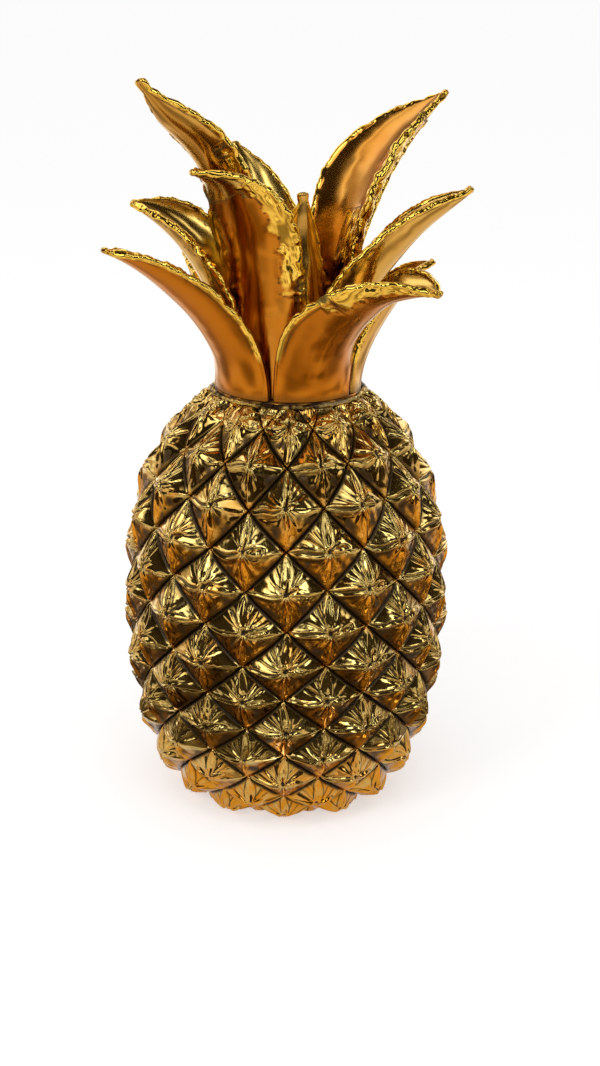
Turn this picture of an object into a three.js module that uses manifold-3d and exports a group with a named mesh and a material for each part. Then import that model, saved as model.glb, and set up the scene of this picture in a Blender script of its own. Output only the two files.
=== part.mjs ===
import * as THREE from 'three';
import { mergeVertices } from 'three/addons/utils/BufferGeometryUtils.js';
import Module from 'manifold-3d';

// A hollow glazed pineapple ornament. A fruit shell covered in diamond-shaped eyes stands on a felt
// pad, a crown core sits in its neck, and three tiers of channel-shaped leaves stand round the core.
// Millimetres, +Z up. The origin is the centre of the pad's resting face, and the front faces -Y.

// Felt pad
const padRadius = 33;
const padThickness = 2;

// Fruit shell
const fruitHeight = 173.5;
const fruitRadius = 64.5;
const fruitWall = 5;
const footRadius = 37;
const ventRadius = 6;
const neckRadius = 17;
const neckDepth = 16;

// Eyes of the fruit: diamonds that interlock round the shell, each a blunt pyramid with a dimple in
// its middle and rounder facets below than above
const eyesPerRing = 12;
const eyeRows = 14;
const eyeRise = 5.6;
const eyeBluntness = 1.2;
const eyeRoundness = 0.7;
const eyeDimple = 0.8;
const eyeDimpleShare = 0.12;
const rowCrowding = 0.2;
const eyeSteps = 4;
const eyeFadeShare = 0.09;

// Crown core
const flangeRadius = 30.2;
const flangeThickness = 1.6;
const spigotDepth = 13;
const stumpHeight = 12;
const budHeight = 8;
const coreBoreRadius = 9;
const coreBoreDepth = 18;

// Leaves. They swell to full width over swellShare of their length and then taper. Over leafFreeShare
// of it their room among their neighbours grows leafFreedom times.
const crownHeight = 128;
const crownReach = 88;
const leafWidth = 31;
const leafWall = 3.4;
const leafTipWall = 2.2;
const leafTipWidth = 4.4;
const tierGap = 0.5;
const stumpGap = 1.2;
const leafSideGap = 1.4;
const leafFreedom = 1.4;
const leafFreeShare = 0.3;
const swellShare = 0.4;
const taperPower = 2.6;
const tipPullShare = 0.33;

// Fits and the fineness of the meshes
const seatGap = 0.3;
const cutOverrun = 4;
const roundSegments = 48;
const leafStations = 13;
const leafSectionSteps = 6;
const budSteps = 4;

// Heights worked out from the sizes above
const footZ = padThickness + seatGap;
const seamZ = footZ + fruitHeight;
const flangeZ = seamZ + seatGap;
const leafRootZ = flangeZ + flangeThickness + seatGap;

// The fruit's outline in the grooves, from just above the seam down to the foot. Each point is a
// share of fruitRadius and a share of fruitHeight.
const outlineShares = [
  [0.38, 1.032], [0.56, 0.962], [0.735, 0.888], [0.86, 0.804], [0.945, 0.712], [0.99, 0.58],
  [1.0, 0.438], [0.965, 0.285], [0.86, 0.122], [0.71, 0.03],
];

// The leaves. Turns are degrees round the crown, from the front towards +X, at the root and at the
// tip. tipRise is the slope of the last stretch above level, and roll turns a leaf about its own line
// towards its tip. Reach and height are shares of crownReach and crownHeight, width of leafWidth, and
// climbShare is how much of its height a leaf climbs before it bends out.
const leafTable = [
  { name: 'outer_leaf_left', tier: 0, rootTurn: -49.5, tipTurn: -57, tipRise: 23, roll: 0,
    curl: 62, reachShare: 0.96, heightShare: 0.512, widthShare: 0.98, climbShare: 0.34 },
  { name: 'outer_leaf_front', tier: 0, rootTurn: 22.5, tipTurn: 47, tipRise: -14, roll: 14,
    curl: 66, reachShare: 0.89, heightShare: 0.396, widthShare: 1.22, climbShare: 0.37 },
  { name: 'outer_leaf_right', tier: 0, rootTurn: 94.5, tipTurn: 103, tipRise: 26, roll: 0,
    curl: 62, reachShare: 0.7, heightShare: 0.4, widthShare: 0.94, climbShare: 0.3 },
  { name: 'outer_leaf_back_right', tier: 0, rootTurn: 166.5, tipTurn: 168, tipRise: 12, roll: 0,
    curl: 64, reachShare: 0.88, heightShare: 0.44, widthShare: 1, climbShare: 0.34 },
  { name: 'outer_leaf_back_left', tier: 0, rootTurn: 238.5, tipTurn: 226, tipRise: 16, roll: 0,
    curl: 64, reachShare: 0.72, heightShare: 0.4, widthShare: 0.94, climbShare: 0.34 },
  { name: 'middle_leaf_front', tier: 1, rootTurn: -26, tipTurn: -43, tipRise: 12, roll: 0,
    curl: 42, reachShare: 0.62, heightShare: 0.735, widthShare: 1.5, climbShare: 0.43 },
  { name: 'middle_leaf_right', tier: 1, rootTurn: 56, tipTurn: 87, tipRise: 34, roll: 4,
    curl: 74, reachShare: 0.83, heightShare: 0.655, widthShare: 1.02, climbShare: 0.46 },
  { name: 'middle_leaf_back_right', tier: 1, rootTurn: 129, tipTurn: 139, tipRise: 24, roll: 0,
    curl: 60, reachShare: 1, heightShare: 0.8, widthShare: 0.6, climbShare: 0.62 },
  { name: 'middle_leaf_back', tier: 1, rootTurn: 200, tipTurn: 212, tipRise: 50, roll: 0,
    curl: 36, reachShare: 0.5, heightShare: 0.75, widthShare: 1.22, climbShare: 0.42 },
  { name: 'middle_leaf_left', tier: 1, rootTurn: 272, tipTurn: 267, tipRise: 18, roll: -18,
    curl: 66, reachShare: 0.73, heightShare: 0.59, widthShare: 1.22, climbShare: 0.42 },
  { name: 'inner_leaf_left', tier: 2, rootTurn: -62, tipTurn: -55, tipRise: 52, roll: 34,
    curl: 54, reachShare: 0.785, heightShare: 1, widthShare: 0.8, climbShare: 0.84 },
  { name: 'inner_leaf_front', tier: 2, rootTurn: 28, tipTurn: 20, tipRise: 84, roll: 0,
    curl: 60, reachShare: 0.17, heightShare: 0.65, widthShare: 0.6, climbShare: 0.5 },
  { name: 'inner_leaf_right', tier: 2, rootTurn: 118, tipTurn: 105, tipRise: 44, roll: 0,
    curl: 38, reachShare: 0.74, heightShare: 0.935, widthShare: 1.8, climbShare: 0.64 },
  { name: 'inner_leaf_back', tier: 2, rootTurn: 208, tipTurn: 204, tipRise: 70, roll: 0,
    curl: 60, reachShare: 0.26, heightShare: 0.6, widthShare: 0.7, climbShare: 0.5 },
];
const leafTierCounts = [5, 5, 4];

const wasm = await Module();
wasm.setup();

const antiqueGold = { color: 0x9a7424, roughness: 0.32, metalness: 0.9 };
const brightGold = { color: 0xc98a1c, roughness: 0.14, metalness: 1.0 };
const blackFelt = { color: 0x1c1a18, roughness: 0.95, metalness: 0.0 };

// A closed solid for cutting, from a geometry whose shared corners are merged first. Faces that have
// shrunk to a line on the axis are dropped.
function toSolid(geometry) {
  const bare = new THREE.BufferGeometry();
  bare.setAttribute('position', geometry.getAttribute('position'));
  bare.setIndex(geometry.getIndex());
  const merged = mergeVertices(bare);
  const corners = merged.getIndex().array;
  const kept = [];
  for (let i = 0; i < corners.length; i += 3) {
    const [a, b, c] = corners.slice(i, i + 3);
    if (a !== b && b !== c && c !== a) kept.push(a, b, c);
  }
  return new wasm.Manifold(new wasm.Mesh({
    numProp: 3,
    vertProperties: new Float32Array(merged.getAttribute('position').array),
    triVerts: new Uint32Array(kept),
  }));
}

function fromSolid(solid) {
  const cut = solid.getMesh();
  const geometry = new THREE.BufferGeometry();
  geometry.setAttribute('position', new THREE.BufferAttribute(new Float32Array(cut.vertProperties), 3));
  geometry.setIndex(new THREE.BufferAttribute(new Uint32Array(cut.triVerts), 1));
  return geometry;
}

// A geometry from points and the corner numbers of its triangles.
function toGeometry(points, corners) {
  const geometry = new THREE.BufferGeometry();
  const places = points.flatMap((point) => point.toArray());
  geometry.setAttribute('position', new THREE.Float32BufferAttribute(places, 3));
  geometry.setIndex(corners);
  return geometry;
}

// A turned solid from [radius, height] points that run up the outside and start and end on the axis.
function turned(points) {
  const profile = points.map(([radius, height]) => new THREE.Vector2(radius, height));
  return new THREE.LatheGeometry(profile, roundSegments).rotateX(Math.PI / 2);
}

// The fruit's groove line as a smooth curve.
const outline = new THREE.SplineCurve([
  ...outlineShares.map(([r, h]) => new THREE.Vector2(r * fruitRadius, footZ + h * fruitHeight)),
  new THREE.Vector2(footRadius, footZ),
]);

// The groove line's point and outward direction at a row. Rows crowd together towards the foot.
function rowPlace(row) {
  const x = row / eyeRows;
  const along = Math.min(1, x * (1 + rowCrowding * (1 - x * x)));
  const point = outline.getPointAt(along);
  const down = outline.getTangentAt(along);
  return { point, outward: new THREE.Vector2(-down.y, down.x) };
}

// Height of the eyes over the grooves. Grooves run where either diagonal count is whole, so the
// nearer groove sets the height. The power that rounds the facets grows below the middle of an eye.
function eyeHeight(row, column) {
  const [first, second] = [(row + column) / 2, (row - column) / 2];
  const ridge = (count) => 1 - Math.abs(2 * (count - Math.floor(count)) - 1);
  const reach = 1 - Math.min(ridge(first), ridge(second));
  const down = row - (Math.floor(first) + Math.floor(second) + 1);
  const power = eyeBluntness + eyeRoundness * Math.max(0, down);
  return eyeRise * (1 - reach ** power) - eyeDimple * Math.exp(-((reach / eyeDimpleShare) ** 2));
}

// The outside of the fruit: a ring of points at each part of a row, lifted over the groove line by the
// eyes. The eyes fade in below the seam and are cut flat at the foot.
function fruitSkin() {
  const columns = 2 * eyesPerRing * eyeSteps;
  const rings = [];
  for (let i = 0; i <= eyeRows * eyeSteps; i++) {
    const row = i / eyeSteps;
    const { point, outward } = rowPlace(row);
    const fade = Math.min(1, row / (eyeRows * eyeFadeShare));
    const ring = [];
    for (let k = 0; k < columns; k++) {
      const column = k / eyeSteps;
      const rise = fade * eyeHeight(row, column);
      const turn = column * Math.PI / eyesPerRing;
      const radius = point.x + outward.x * rise;
      const height = Math.max(footZ, point.y + outward.y * rise);
      ring.push(new THREE.Vector3(radius * Math.sin(turn), -radius * Math.cos(turn), height));
    }
    rings.push(ring);
  }
  return facetRings(rings);
}

// Joins the rings of the fruit so that each small square is split along the groove that crosses it.
function facetRings(rings) {
  const perRing = rings[0].length;
  const corners = [];
  for (let i = 0; i + 1 < rings.length; i++) {
    const row = Math.floor(i / eyeSteps);
    for (let k = 0; k < perRing; k++) {
      const column = Math.floor(k / eyeSteps);
      const a = i * perRing + k;
      const b = i * perRing + (k + 1) % perRing;
      const c = a + perRing;
      const d = b + perRing;
      if ((row + column) % 2 === 0) corners.push(a, c, d, a, d, b);
      else corners.push(a, c, b, b, c, d);
    }
  }
  const top = rings.length * perRing;
  const foot = top + 1;
  const footRing = top - perRing;
  for (let k = 0; k < perRing; k++) {
    const next = (k + 1) % perRing;
    corners.push(top, k, next, foot, footRing + next, footRing + k);
  }
  const middles = [rings[0][0], rings[rings.length - 1][0]].map((p) => new THREE.Vector3(0, 0, p.z));
  return toGeometry([...rings.flat(), ...middles], corners);
}

// The fruit hollowed out: one turned tool cuts the vent, the cavity, the neck and the flat seam.
function fruitShell() {
  const cavity = [
    [0, footZ - cutOverrun], [ventRadius, footZ - cutOverrun], [ventRadius, footZ + fruitWall],
  ];
  for (let row = eyeRows - 1; row >= 1; row--) {
    const { point, outward } = rowPlace(row);
    const radius = point.x - fruitWall * outward.x;
    const height = point.y - fruitWall * outward.y;
    if (height < seamZ - neckDepth && radius > neckRadius) cavity.push([radius, height]);
  }
  cavity.push([neckRadius, seamZ - neckDepth], [neckRadius, seamZ]);
  cavity.push([fruitRadius, seamZ], [fruitRadius, seamZ + neckDepth], [0, seamZ + neckDepth]);
  return fromSolid(toSolid(fruitSkin()).subtract(toSolid(turned(cavity))));
}

// The middle of the leaf wall at the root of a tier, the outer tier flush with the flange.
function tierRadius(tier) {
  return flangeRadius - leafWall / 2 - tier * (leafWall + tierGap);
}

const stumpRadius = tierRadius(leafTierCounts.length - 1) - leafWall / 2 - stumpGap;

// The crown core: a spigot in the neck, a flange on the seam, and a stump that ends in a round bud.
function crownCore() {
  const spigotRadius = neckRadius - seatGap;
  const boreTop = seamZ - spigotDepth + coreBoreDepth;
  const bud = [];
  for (let i = 0; i <= budSteps; i++) {
    const lift = i / budSteps * Math.PI / 2;
    const radius = i < budSteps ? stumpRadius * Math.cos(lift) : 0;
    bud.push([radius, seamZ + stumpHeight + budHeight * Math.sin(lift)]);
  }
  return turned([
    [0, boreTop], [coreBoreRadius, boreTop], [coreBoreRadius, seamZ - spigotDepth],
    [spigotRadius, seamZ - spigotDepth], [spigotRadius, flangeZ], [flangeRadius, flangeZ],
    [flangeRadius, flangeZ + flangeThickness], [stumpRadius, flangeZ + flangeThickness], ...bud,
  ]);
}

// A leaf's line: a cubic in radius and height that leaves the root upright and reaches the tip at
// tipRise, while the turn eases from rootTurn to tipTurn.
class LeafLine extends THREE.Curve {
  constructor(leaf) {
    super();
    this.leaf = leaf;
    const root = new THREE.Vector2(tierRadius(leaf.tier), leafRootZ);
    const tip = new THREE.Vector2(leaf.reachShare * crownReach, seamZ + leaf.heightShare * crownHeight);
    const slope = THREE.MathUtils.degToRad(leaf.tipRise);
    const pull = tipPullShare * root.distanceTo(tip);
    const climb = new THREE.Vector2(root.x, root.y + leaf.climbShare * (tip.y - root.y));
    const turnIn = new THREE.Vector2(tip.x - pull * Math.cos(slope), tip.y - pull * Math.sin(slope));
    this.side = new THREE.CubicBezierCurve(root, climb, turnIn, tip);
  }

  turnAt(along) {
    return THREE.MathUtils.degToRad(THREE.MathUtils.lerp(
      this.leaf.rootTurn, this.leaf.tipTurn, THREE.MathUtils.smoothstep(along, 0, 1)));
  }

  getPoint(along, target = new THREE.Vector3()) {
    const { x: radius, y: height } = this.side.getPoint(along);
    const turn = this.turnAt(along);
    return target.set(radius * Math.sin(turn), -radius * Math.cos(turn), height);
  }
}

// The section of a leaf at a share of its length: an arc of radius bend that reaches curl to each
// side, with a wall. The leaf is never wider than its room among its neighbours on the ring.
function leafSection(leaf, along, lineRadius) {
  const rootRadius = tierRadius(leaf.tier);
  const rootCurl = Math.PI / leafTierCounts[leaf.tier] - leafSideGap / 2 / rootRadius;
  const rootWidth = rootRadius * Math.sin(rootCurl);
  const swell = THREE.MathUtils.smoothstep(along, 0, swellShare);
  const taper = 1 - Math.max(0, (along - swellShare) / (1 - swellShare)) ** taperPower;
  const freeWidth = THREE.MathUtils.lerp(rootWidth, leaf.widthShare * leafWidth / 2, swell);
  const freedom = THREE.MathUtils.lerp(
    1, leafFreedom, THREE.MathUtils.smoothstep(along, 0, leafFreeShare));
  const fullWidth = Math.min(freeWidth, lineRadius * Math.sin(rootCurl * freedom));
  const halfWidth = Math.max(leafTipWidth / 2, fullWidth * taper);
  const curl = THREE.MathUtils.lerp(rootCurl, THREE.MathUtils.degToRad(leaf.curl), swell);
  const wall = THREE.MathUtils.lerp(leafWall, leafTipWall, along);
  const bend = halfWidth / Math.sin(curl);
  return { bend, curl, wall: Math.min(wall, bend) };
}

// The leaf as a solid, or with growth added to all its faces but the ends, to cut its neighbours.
function leafSolid(leaf, growth) {
  const line = new LeafLine(leaf);
  const rings = [];
  for (let i = 0; i < leafStations; i++) {
    const along = i / (leafStations - 1);
    const middle = line.getPoint(along);
    const forward = line.getTangent(along);
    const turn = line.turnAt(along);
    const across = new THREE.Vector3(Math.cos(turn), Math.sin(turn), 0);
    across.addScaledVector(forward, -across.dot(forward)).normalize();
    across.applyAxisAngle(forward, THREE.MathUtils.degToRad(leaf.roll) * along);
    const outward = new THREE.Vector3().crossVectors(across, forward);
    const { bend, curl, wall } = leafSection(leaf, along, Math.hypot(middle.x, middle.y));
    const centre = middle.clone().addScaledVector(outward, -bend);
    const arc = (radius, angle) => centre.clone()
      .addScaledVector(across, radius * Math.sin(angle))
      .addScaledVector(outward, radius * Math.cos(angle));
    const reach = curl + growth / bend;
    const ring = [];
    for (let k = 0; k <= leafSectionSteps; k++) {
      ring.push(arc(bend + wall / 2 + growth, reach * (2 * k / leafSectionSteps - 1)));
    }
    for (let k = leafSectionSteps; k >= 0; k--) {
      ring.push(arc(bend - wall / 2 - growth, reach * (2 * k / leafSectionSteps - 1)));
    }
    rings.push(ring);
  }
  return toSolid(leafSkin(rings));
}

// A closed skin over the rings of a leaf, with strips between its outer and inner arc at both ends.
function leafSkin(rings) {
  const perRing = rings[0].length;
  const corners = [];
  for (let i = 0; i + 1 < rings.length; i++) {
    for (let k = 0; k < perRing; k++) {
      const a = i * perRing + k;
      const b = i * perRing + (k + 1) % perRing;
      corners.push(a, b, b + perRing, a, b + perRing, a + perRing);
    }
  }
  const tip = (rings.length - 1) * perRing;
  for (let k = 0; k < leafSectionSteps; k++) {
    const mate = perRing - 1 - k;
    corners.push(k, mate, k + 1, k + 1, mate, mate - 1);
    corners.push(tip + k, tip + k + 1, tip + mate, tip + k + 1, tip + mate - 1, tip + mate);
  }
  return toGeometry(rings.flat(), corners);
}

// Leaves that meet are parted: each gives way, with a gap, to the leaves before it in the table. A
// sliver that this cuts off is dropped.
function partedLeaves() {
  const grown = leafTable.map((leaf) => leafSolid(leaf, seatGap));
  return leafTable.map((leaf, place) => {
    const parted = grown.slice(0, place).reduce(
      (solid, earlier) => solid.subtract(earlier), leafSolid(leaf, 0));
    return parted.decompose().reduce((main, other) => (other.volume() > main.volume() ? other : main));
  });
}

function piece(name, geometry, finish) {
  const mesh = new THREE.Mesh(geometry, new THREE.MeshStandardMaterial(finish));
  mesh.name = name;
  return mesh;
}

const pineapple = new THREE.Group();
pineapple.add(piece('felt_pad', turned([
  [0, 0], [padRadius, 0], [padRadius, padThickness], [0, padThickness],
]), blackFelt));
pineapple.add(piece('fruit_shell', fruitShell(), antiqueGold));
const crown = new THREE.Group();
crown.add(piece('crown_core', crownCore(), brightGold));
partedLeaves().forEach((solid, place) => {
  crown.add(piece(leafTable[place].name, fromSolid(solid), brightGold));
});
pineapple.add(crown);

export default pineapple;
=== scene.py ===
import math
from collections import namedtuple

import bpy
import numpy as np
from bpy.props import FloatProperty, FloatVectorProperty, IntProperty, PointerProperty
from mathutils import Matrix, Vector


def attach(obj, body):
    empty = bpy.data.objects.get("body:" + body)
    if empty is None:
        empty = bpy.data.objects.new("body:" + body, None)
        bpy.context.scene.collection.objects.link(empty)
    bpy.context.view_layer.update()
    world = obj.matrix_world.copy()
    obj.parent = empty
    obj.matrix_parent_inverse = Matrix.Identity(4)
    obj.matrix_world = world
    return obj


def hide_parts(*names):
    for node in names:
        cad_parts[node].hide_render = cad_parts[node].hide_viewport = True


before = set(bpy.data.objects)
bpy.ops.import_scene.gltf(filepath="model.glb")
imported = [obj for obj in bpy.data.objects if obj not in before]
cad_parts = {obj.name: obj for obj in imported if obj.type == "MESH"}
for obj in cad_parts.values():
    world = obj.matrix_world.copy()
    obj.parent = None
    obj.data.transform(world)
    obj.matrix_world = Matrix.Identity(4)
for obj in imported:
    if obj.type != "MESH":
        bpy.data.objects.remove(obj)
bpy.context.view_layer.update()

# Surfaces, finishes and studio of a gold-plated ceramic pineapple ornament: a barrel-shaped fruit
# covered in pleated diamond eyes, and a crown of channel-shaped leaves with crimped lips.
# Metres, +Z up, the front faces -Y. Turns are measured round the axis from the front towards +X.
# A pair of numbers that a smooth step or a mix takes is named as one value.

bl_info = {
    "name": "Gilded Pineapple Ornament",
    "version": (1, 0, 0),
    "blender": (4, 5, 0),
    "location": "3D View > Sidebar > Ornament",
    "description": "Builds a gold-plated pineapple ornament with pleated eyes and crimped leaves",
    "category": "Add Mesh",
}

MM = 0.001
TAU = 2 * math.pi
SEED = 7
NO_TRIANGLES = np.zeros((0, 3), int)
FULL_RANGE = (0.0, 1.0)

# The fruit's groove line from just above the seam to the foot: shares of the groove radius and of
# the fruit's height.
OUTLINE_SHARES = (
    (0.38, 1.032), (0.56, 0.962), (0.735, 0.888), (0.86, 0.804), (0.945, 0.712), (0.99, 0.58),
    (1.0, 0.438), (0.965, 0.285), (0.86, 0.122), (0.71, 0.03),
)

# The leaves. Turns are degrees at the root and at the tip, tip_rise the slope of the last stretch,
# roll the turn about the leaf's own line at the tip, and curl half the angle of its channel. The
# shares are of the crown's reach, the crown's height and the leaf width, and climb is how much of
# its height the leaf climbs before it bends out. warmth is how orange its outer face is painted, a
# painted warm reflection, and lip how wide its crimped lip is as a share of the usual width.
Leaf = namedtuple("Leaf", "name tier root_turn tip_turn tip_rise roll reach height width climb curl"
                          " warmth lip")
LEAVES = (
    Leaf("outer_leaf_left", 0, -49.5, -57, 23, 0, 0.96, 0.512, 0.98, 0.34, 62, 1.0, 1.0),
    Leaf("outer_leaf_front", 0, 22.5, 47, -14, 14, 0.89, 0.396, 1.22, 0.37, 66, 1.0, 1.3),
    Leaf("outer_leaf_right", 0, 94.5, 103, 26, 0, 0.7, 0.4, 0.94, 0.3, 62, 0.35, 0.8),
    Leaf("outer_leaf_back_right", 0, 166.5, 168, 12, 0, 0.88, 0.44, 1.0, 0.34, 64, 0.7, 1.0),
    Leaf("outer_leaf_back_left", 0, 238.5, 226, 16, 0, 0.72, 0.4, 0.94, 0.34, 64, 0.9, 1.0),
    Leaf("middle_leaf_front", 1, -26, -43, 12, 0, 0.62, 0.735, 1.5, 0.43, 42, 0.8, 1.2),
    Leaf("middle_leaf_right", 1, 56, 87, 34, 4, 0.83, 0.655, 1.02, 0.46, 74, 0.2, 0.8),
    Leaf("middle_leaf_back_right", 1, 129, 139, 24, 0, 1.0, 0.8, 0.6, 0.62, 60, 0.2, 0.8),
    Leaf("middle_leaf_back", 1, 200, 212, 50, 0, 0.5, 0.75, 1.22, 0.42, 36, 0.15, 0.5),
    Leaf("middle_leaf_left", 1, 272, 267, 18, -18, 0.73, 0.59, 1.22, 0.42, 66, 0.3, 0.8),
    Leaf("inner_leaf_left", 2, -62, -55, 52, 34, 0.785, 1.0, 0.8, 0.84, 54, 0.35, 1.0),
    Leaf("inner_leaf_front", 2, 28, 20, 84, 0, 0.17, 0.65, 0.6, 0.5, 60, 0.3, 0.8),
    Leaf("inner_leaf_right", 2, 118, 105, 44, 0, 0.74, 0.935, 1.8, 0.64, 38, 0.9, 1.2),
    Leaf("inner_leaf_back", 2, 208, 204, 70, 0, 0.26, 0.6, 0.7, 0.5, 60, 0.6, 1.0),
)
TIER_COUNTS = (5, 5, 4)

# How orange the inside of a leaf is painted, a painted warm reflection
INSIDE_WARMTH = {"inner_leaf_right": 0.6}
USUAL_INSIDE_WARMTH = 0.05

# Where the colour differs on some leaves. Each patch is a leaf, its kind, its first and last
# share of the length, and its first and last place across, from -1 to 1. A band is crumpled,
# bright and yellow, and the pale patch is a painted pale reflection. A border past the leaf's
# own ends isn't seen.
PATCHES = (
    ("middle_leaf_front", "bare", 0.72, 1.2, -1.4, 1.4),
    ("middle_leaf_front", "band", 0.04, 0.70, -1.4, -0.46),
    ("middle_leaf_front", "band", 0.34, 0.86, 0.58, 1.4),
    ("inner_leaf_right", "band", 0.36, 0.86, -1.4, -0.32),
    ("inner_leaf_right", "band", 0.08, 0.48, -1.4, 0.12),
    ("inner_leaf_left", "band", 0.20, 0.62, 0.40, 1.4),
    ("middle_leaf_left", "bare", -0.2, 1.2, -0.85, 0.85),
    ("outer_leaf_front", "band", 0.50, 0.95, -1.4, -0.65),
)
PATCH_SOFT_ALONG = 0.05
PATCH_SOFT_ACROSS = 0.1


def length(name, description, default):
    """A size in metres, shown in the scene's own unit."""
    return FloatProperty(name=name, description=description, default=default,
                         unit="LENGTH", precision=5)


def share(name, description, default):
    """A plain number, mostly a share of something else."""
    return FloatProperty(name=name, description=description, default=default, precision=3)


def angle(name, description, degrees):
    """An angle, kept in radians and given here in degrees."""
    return FloatProperty(name=name, description=description, default=math.radians(degrees),
                         subtype="ANGLE", unit="ROTATION")


def colour(name, description, default):
    """A linear colour."""
    return FloatVectorProperty(name=name, description=description, default=default,
                               subtype="COLOR", size=3, min=0.0, max=1.0)


def count(name, description, default):
    """A whole number of steps or copies."""
    return IntProperty(name=name, description=description, default=default, min=1)


class FruitSettings(bpy.types.PropertyGroup):
    """Sizes of the fruit and of the lattice of its eyes."""
    radius: length("Groove radius", "Widest radius of the fruit in its grooves", 64.5 * MM)
    height: length("Height", "From the foot to the seam under the crown", 173.5 * MM)
    foot_gap: length("Foot gap", "Glue line between the pad and the foot", 0.3 * MM)
    foot_radius: length("Foot radius", "Radius of the flat foot", 37 * MM)
    wall: length("Wall", "Thickness of the cast wall under the grooves", 5 * MM)
    body_depth: length("Body depth", "How far the body under the eyes lies below the grooves",
                       1.4 * MM)
    neck_radius: length("Neck radius", "Radius of the opening that takes the crown's spigot", 17 * MM)
    neck_depth: length("Neck depth", "Depth of that opening below the seam", 16 * MM)
    vent_radius: length("Vent radius", "Radius of the firing vent in the foot", 6 * MM)
    eyes: count("Eyes per ring", "Number of eyes round the fruit", 12)
    rows: count("Rows", "Half diamonds from the start of the outline to the foot", 14)
    crowding: share("Row crowding", "How much the rows crowd together towards the foot", 0.2)
    fade: share("Fade", "Share of the rows over which the eyes rise below the seam", 0.09)
    sway: share("Sway", "How far the lattice wanders, as a share of a row", 0.035)
    around: count("Body steps", "Points round the body under the eyes", 192)


class EyeSettings(bpy.types.PropertyGroup):
    """Relief of one eye, with the pleats, lips and folds that gather at its middle."""
    rise: length("Rise", "Height of the middle of an eye over the grooves", 5.6 * MM)
    bluntness: share("Bluntness", "Power that rounds the upper facets", 1.2)
    roundness: share("Roundness", "How much that power grows towards the lower corner", 0.7)
    groove_depth: length("Groove depth", "How far the rim of an eye dips into the groove", 0.6 * MM)
    groove_share: share("Groove share", "Outer share of an eye that rolls into the groove", 0.08)
    overlap: length("Overlap", "How far the lower edges of an eye stand over the eyes below", 0.7 * MM)
    skirt: length("Skirt", "Depth of the hidden edge of an eye below the groove line", 3.0 * MM)
    pleat_depth: length("Pleat depth", "Depth of the pleats on the upper facets", 0.6 * MM)
    pleat_pitch: angle("Pleat pitch", "Angle from one pleat to the next", 23)
    fold_depth: length("Fold depth", "Depth of the soft folds on the lower facets", 0.55 * MM)
    fold_pitch: angle("Fold pitch", "Angle from one soft fold to the next", 31)
    keel: length("Keel", "Height of the ridge down the middle of the lower facets", 0.35 * MM)
    flame_width: length("Flame width", "Half width of the flat on the upper ridge", 2.0 * MM)
    flame_lip: length("Flame lip", "Height of the two lips that bound that flat", 0.35 * MM)
    slit_width: length("Slit width", "Width of the slit over the middle", 0.5 * MM)
    slit_height: length("Slit height", "How far that slit reaches up", 5.2 * MM)
    slit_depth: length("Slit depth", "Depth of that slit", 1.2 * MM)
    swag_drop: length("Swag drop", "How far the hollow on the left ridge hangs down", 1.6 * MM)
    swag_depth: length("Swag depth", "Depth of that hollow", 0.6 * MM)
    swag_lip: length("Swag lip", "Height of the lips along the side ridges", 0.42 * MM)
    almond_place: length("Almond place", "From the middle to the almond on the right ridge", 5.0 * MM)
    almond_length: length("Almond length", "Half length of that almond", 3.0 * MM)
    almond_width: length("Almond width", "Half width of that almond", 1.0 * MM)
    almond_lip: length("Almond lip", "Height of that almond", 0.5 * MM)
    pucker_depth: length("Pucker depth", "Depth of the dimple in the middle", 1.4 * MM)
    pucker_radius: length("Pucker radius", "Radius of that dimple", 1.1 * MM)
    hammer: length("Hammer", "Height of the fine lumps all over", 0.018 * MM)
    upper_steps: count("Upper steps", "Points along each upper edge of an eye", 40)
    lower_steps: count("Lower steps", "Points along each lower edge of an eye", 24)
    rings: count("Rings", "Rings of points from the middle of an eye to its rim", 28)


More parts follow.
